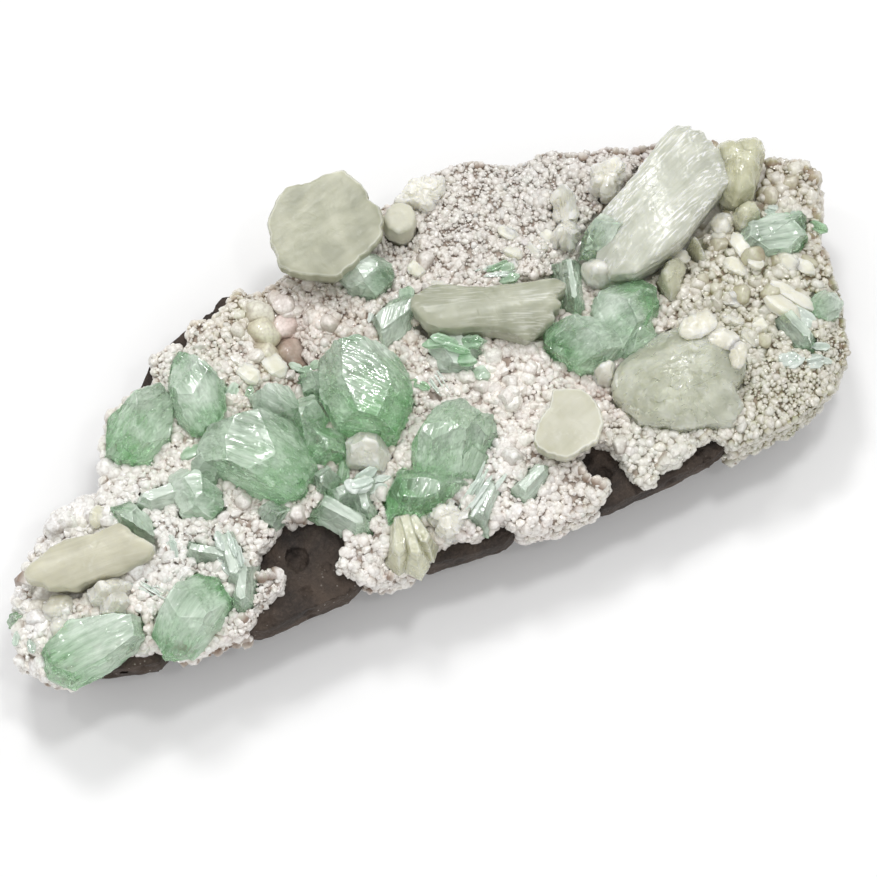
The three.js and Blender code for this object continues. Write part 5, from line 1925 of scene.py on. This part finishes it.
@dataclass(frozen=True)
class SmallCrystals:
    """The small crystals between the big ones."""

    rings: int = 11  # cross-sections along one crystal
    corners: int = 20  # corners of one cross-section
    square: float = 7.0  # how square the cross-section is
    point: float = 0.22  # share of the length over which each end draws in
    blunt: float = 0.35  # size of the end faces, as a share of the cross-section
    groove: float = 0.06  # depth of the lengthwise grooves, as a share of the width
    facet: float = 1.2 * MM  # width of the small facets on them
    uneven: float = 0.16  # slope of those facets
    tilt: float = 14.0  # how far crystals stand up from the ground, in degrees
    roll: float = 18.0  # how far they turn about their length, in degrees
    # the lift from which crystals may stand on other crystals, in millimetres; the rest grow only
    # on open crust
    over: float = 0.6
    climb: float = 4.0 * MM  # how high a big crystal may stand where a small one grows from its foot
    lowest: float = 15 * MM  # height of the lowest ground that they grow on
    crisp: float = math.radians(26)  # the bend from which their edges are shaded sharp
    seed: int = 1301  # picks the random numbers

    def seated(self, handfuls: list[Spray], rng: np.random.Generator) -> Seated:
        """Puts the crystals of some sprays in their places.

        Formula: the crystals stray from their spray's middle and heading and differ in size at
        random; one that is alone in its spray does not.

        Args:
            handfuls: The sprays.
            rng: Where the random numbers come from.

        Returns:
            The crystals' places.
        """
        table = np.array([astuple(spray) for spray in handfuls])
        many = table[:, 3].astype(int)
        x, y, heading, _, length, width, fan, lift = np.repeat(table, many, axis=0).T
        count = len(x)
        alone = np.repeat(many == 1, many)
        stray = np.where(alone, 0, 0.45)
        turn = np.radians(heading + np.where(alone, 0, fan * rng.normal(0, 0.6, count)))
        lean = np.radians(self.tilt * rng.uniform(-1, 1, count))[:, None]
        roll = np.radians(rng.normal(0, self.roll, count))[:, None]
        length = length * MM * np.where(alone, 1, rng.uniform(0.7, 1.3, count))
        width = width * MM * np.where(alone, 1, rng.uniform(0.7, 1.3, count))
        across = rng.uniform(-1, 1, count) * np.maximum(width * 1.6, 0.35 * length) * stray * 2
        along = rng.uniform(-1, 1, count) * length * stray
        level = levels(turn)
        side = np.cross(UP, level)
        axis = level * np.cos(lean) + UP * np.sin(lean)
        up = np.cross(axis, side)
        middle = np.stack([x, y, np.zeros(count)], axis=1) * MM
        middle += level * along[:, None] + side * across[:, None]
        side, up = side * np.cos(roll) + up * np.sin(roll), up * np.cos(roll) - side * np.sin(roll)
        ground, top = ground_under(middle)
        middle[:, 2] = np.where(lift > self.over, top, ground) + lift * MM
        shown = (ground > self.lowest) & ((top < ground + self.climb) | (lift > self.over))
        return Seated(middle, (axis, side, up), length, width, shown)

    def skins(
        self, crystals: Seated, flat: float, rng: np.random.Generator
    ) -> tuple[Array, Array]:
        """The crystals' points.

        Formula: a squared and grooved outline is carried along each crystal's axis and drawn in
        towards both ends, which it meets at a slant.

        Args:
            crystals: Their places.
            flat: Their thickness as a share of their width.
            rng: Where the random numbers come from.

        Returns:
            The points, a table for each crystal, and how near to a lengthwise edge each point of
            one crystal is, from 0 to 1, which the finishes paint as a highlight.
        """
        axis, side, up = crystals.axes
        count = len(axis)
        outline = compass(self.corners)[:, :2]
        reach = (np.abs(outline) ** self.square).sum(axis=1) ** (-1 / self.square)
        grooves = 1 - self.groove * rng.random((count, self.corners)) * (reach < 1.25)
        share = np.linspace(0, 1, self.rings)
        near = (np.minimum(share, 1 - share) / self.point).clip(0, 1)
        draw = self.blunt + (1 - self.blunt) * near
        slant = rng.uniform(-0.5, 0.5, (count, 2, 2))[:, np.where(share < 0.5, 0, 1)]
        section = (outline * (reach * grooves)[..., None])[:, None] * draw[None, :, None, None]
        half = np.stack([crystals.width, flat * crystals.width], axis=1)[:, None, None] / 2
        section = section * half
        tip = (1 - near)[None, :, None] * (section * slant[:, :, None]).sum(axis=3)
        run = (share - 0.5)[None, :, None] * crystals.length[:, None, None] + tip
        points = (
            crystals.middle[:, None, None]
            + run[..., None] * axis[:, None, None]
            + section[..., :1] * side[:, None, None]
            + section[..., 1:] * up[:, None, None]
        )
        ends = points[:, [0, -1]].mean(axis=2)
        edge = np.append(np.tile(smooth_step(reach, 1.15, 1.28), self.rings), (0, 0))
        return np.concatenate([points.reshape(count, -1, 3), ends], axis=1), edge

    def build(self, handfuls: list[Spray], flat: float, seed: int) -> tuple[Surface, Layers]:
        """All crystals of some sprays as one surface, under a mosaic of small facets.

        Args:
            handfuls: The sprays.
            flat: Their crystals' thickness as a share of their width.
            seed: Picks the random numbers.

        Returns:
            The surface, and the layers that its finish reads.
        """
        rng = np.random.default_rng(seed)
        crystals = self.seated(handfuls, rng)
        points, edge = self.skins(crystals, flat, rng)
        axis, side, up = crystals.axes
        count = len(points)
        frames = np.stack([axis * 0.12, side, up], axis=1)
        way = np.einsum("nij,nvj->nvi", frames, points - crystals.middle[:, None])
        one = np.ones(points.shape[:2])
        layers = {
            "way": way + rng.uniform(0, 0.1, (count, 1, 3)),
            "green": one * rng.uniform(0.3, 1.0, (count, 1)),
            "milk": one * rng.uniform(0.1, 0.8, (count, 1)),
            "tone": one * rng.uniform(-0.05, 0.15, (count, 1)),
            "edge": one * edge,
        }
        shape = Surface.of_many(
            points[crystals.shown], tube_skin(self.rings, self.corners, False)
        )
        shape = shape.pushed(facets(shape.points, self.facet, self.uneven, seed))
        size = len(shape.points)
        return shape, {
            name: values[crystals.shown].reshape(size, -1).squeeze()
            for name, values in layers.items()
        }

    def dress(self) -> None:
        """Puts the green, the pale and the cream handfuls into the scene."""
        glass = GreenGlass("small_apophyllite", clear=0.85, density=60.0).material()
        frost = GreenGlass(
            "frosted_apophyllite", (0.90, 0.97, 0.92), (0.74, 0.93, 0.78), (0.95, 0.97, 0.94),
            0.6, 0.15, density=20.0,
        ).material()
        cream = PearlyBlade(
            "small_stilbite", (0.80, 0.78, 0.66), (0.68, 0.66, 0.51), 0.0, 0.4,
            pearl=0.2, silk=0.0, bloom=0.35, grain=0.03 * MM,
        ).material()
        kinds = (
            ("green_sprays", GREEN_SPRAYS, 0.75, "apophyllite", glass),
            ("pale_sprays", PALE_SPRAYS, 0.6, "apophyllite", frost),
            ("cream_sprays", CREAM_SPRAYS, 0.65, "stilbite", cream),
        )
        for number, (name, handfuls, flat, slot, finish) in enumerate(kinds):
            shape, layers = self.build(handfuls, flat, self.seed + number)
            make_piece(name, shape, slot, finish, crisp=self.crisp, **layers)


# ---- the studio


@dataclass(frozen=True)
class Softbox:
    """A square lamp that lights the specimen from a direction."""

    name: str  # its name
    towards: Colour  # which way it lies from the specimen
    distance: float  # how far from it
    side: float  # length of its sides
    power: float  # its power, in watts
    colour: Colour = (1.0, 1.0, 1.0)  # its light's colour

    def place(self, target: Vector) -> None:
        """Puts the lamp at its distance from the target, facing it.

        Args:
            target: The place that it lights.
        """
        lamp = bpy.data.lights.new(self.name, "AREA")
        lamp.size = self.side
        lamp.energy = self.power
        lamp.color = self.colour
        holder = bpy.data.objects.new(self.name, lamp)
        way = Vector(self.towards).normalized()
        holder.location = target + way * self.distance
        holder.rotation_euler = (-way).to_track_quat("-Z", "Y").to_euler()
        bpy.context.scene.collection.objects.link(holder)


@dataclass(frozen=True)
class Studio:
    """The pale table, the lamps, the bright room and the camera."""

    azimuth: float = -25.0  # the camera's turn about the target, in degrees
    elevation: float = 70.0  # its angle over the level, in degrees
    distance: float = 0.430  # how far it is from the target
    target: Colour = (2.687 * MM, -12.756 * MM, 18.206 * MM)  # the place that it looks at
    lens: float = 102.62  # its focal length, in millimetres
    sensor: float = 36.0  # its sensor's width, in millimetres
    table: Colour = (0.93, 0.93, 0.93)  # colour of the table
    reach: float = 3.0  # half the table's width
    drop: float = 0.2 * MM  # how far the table lies under the specimen
    room: Colour = (1.0, 1.0, 1.0)  # colour of the light from all around
    room_strength: float = 0.575  # how strong that light is
    # the lamps
    lamps: tuple[Softbox, ...] = (
        Softbox("overhead", (0.20, 0.10, 0.97), 0.55, 0.065, 0.6),
        Softbox("window", (0.054, 0.49, 0.87), 0.6, 0.10, 0.9),
        Softbox("front", (-0.5, -0.75, 0.7), 0.7, 0.4, 0.6),
        Softbox("left_glint", (-0.42, 0.42, 0.80), 0.55, 0.035, 0.17),
        Softbox("right_glint", (0.62, 0.30, 0.72), 0.55, 0.035, 0.17),
        Softbox("near_glint", (0.12, -0.30, 0.95), 0.55, 0.035, 0.17),
    )

    def floor(self) -> None:
        """The pale table that the specimen lies on."""
        board = Board("pale_table")
        grain = board.noise(board.place(), 0.3, 2)
        colour = board.blend(board.rise(grain, 0.3, 0.7, 0.0, 1.0), self.table, (0.95, 0.95, 0.95))
        finish = board.finish(board.add("BsdfPrincipled", {"Base Color": colour, "Roughness": 0.9}))
        corners = self.reach * np.array([(-1, -1), (1, -1), (1, 1), (-1, 1)])
        mesh = bpy.data.meshes.new("table_top")
        mesh.from_pydata(np.column_stack([corners, np.full(4, -self.drop)]).tolist(), [], [(0, 1, 2, 3)])
        mesh.materials.append(finish)
        top = bpy.data.objects.new("table_top", mesh)
        bpy.context.scene.collection.objects.link(top)

    def light(self) -> None:
        """The lamps and the room's own light."""
        for lamp in self.lamps:
            lamp.place(Vector(self.target))
        world = bpy.data.worlds.new("bright_room")
        world.use_nodes = True
        ground = world.node_tree.nodes["Background"]
        ground.inputs["Color"].default_value = rgba(self.room)
        ground.inputs["Strength"].default_value = self.room_strength
        bpy.context.scene.world = world

    def camera(self) -> None:
        """The camera, turned about the target by its azimuth and elevation."""
        turn, lift = math.radians(self.azimuth), math.radians(self.elevation)
        back = Vector(
            (math.sin(turn) * math.cos(lift), -math.cos(turn) * math.cos(lift), math.sin(lift))
        )
        camera = bpy.data.cameras.new("camera")
        camera.lens = self.lens
        camera.sensor_width = self.sensor
        camera.clip_start = 0.01
        holder = bpy.data.objects.new("camera", camera)
        holder.location = Vector(self.target) + back * self.distance
        holder.rotation_euler = (-back).to_track_quat("-Z", "Y").to_euler()
        bpy.context.scene.collection.objects.link(holder)
        bpy.context.scene.camera = holder

    def set_up(self) -> None:
        """Builds the whole studio."""
        self.floor()
        self.light()
        self.camera()
        bpy.context.scene.view_settings.view_transform = "Standard"


def main() -> None:
    """Builds the specimen and the studio."""
    logging.basicConfig(level=logging.INFO, format="%(message)s")
    Studio().set_up()
    BasaltSlab().dress()
    HeulanditeCrust().dress()
    ApophylliteCrystals().dress()
    StilbiteCrystals().dress()
    SmallCrystals().dress()
    CreamLobes().dress()


if __name__ == "__main__":
    main()
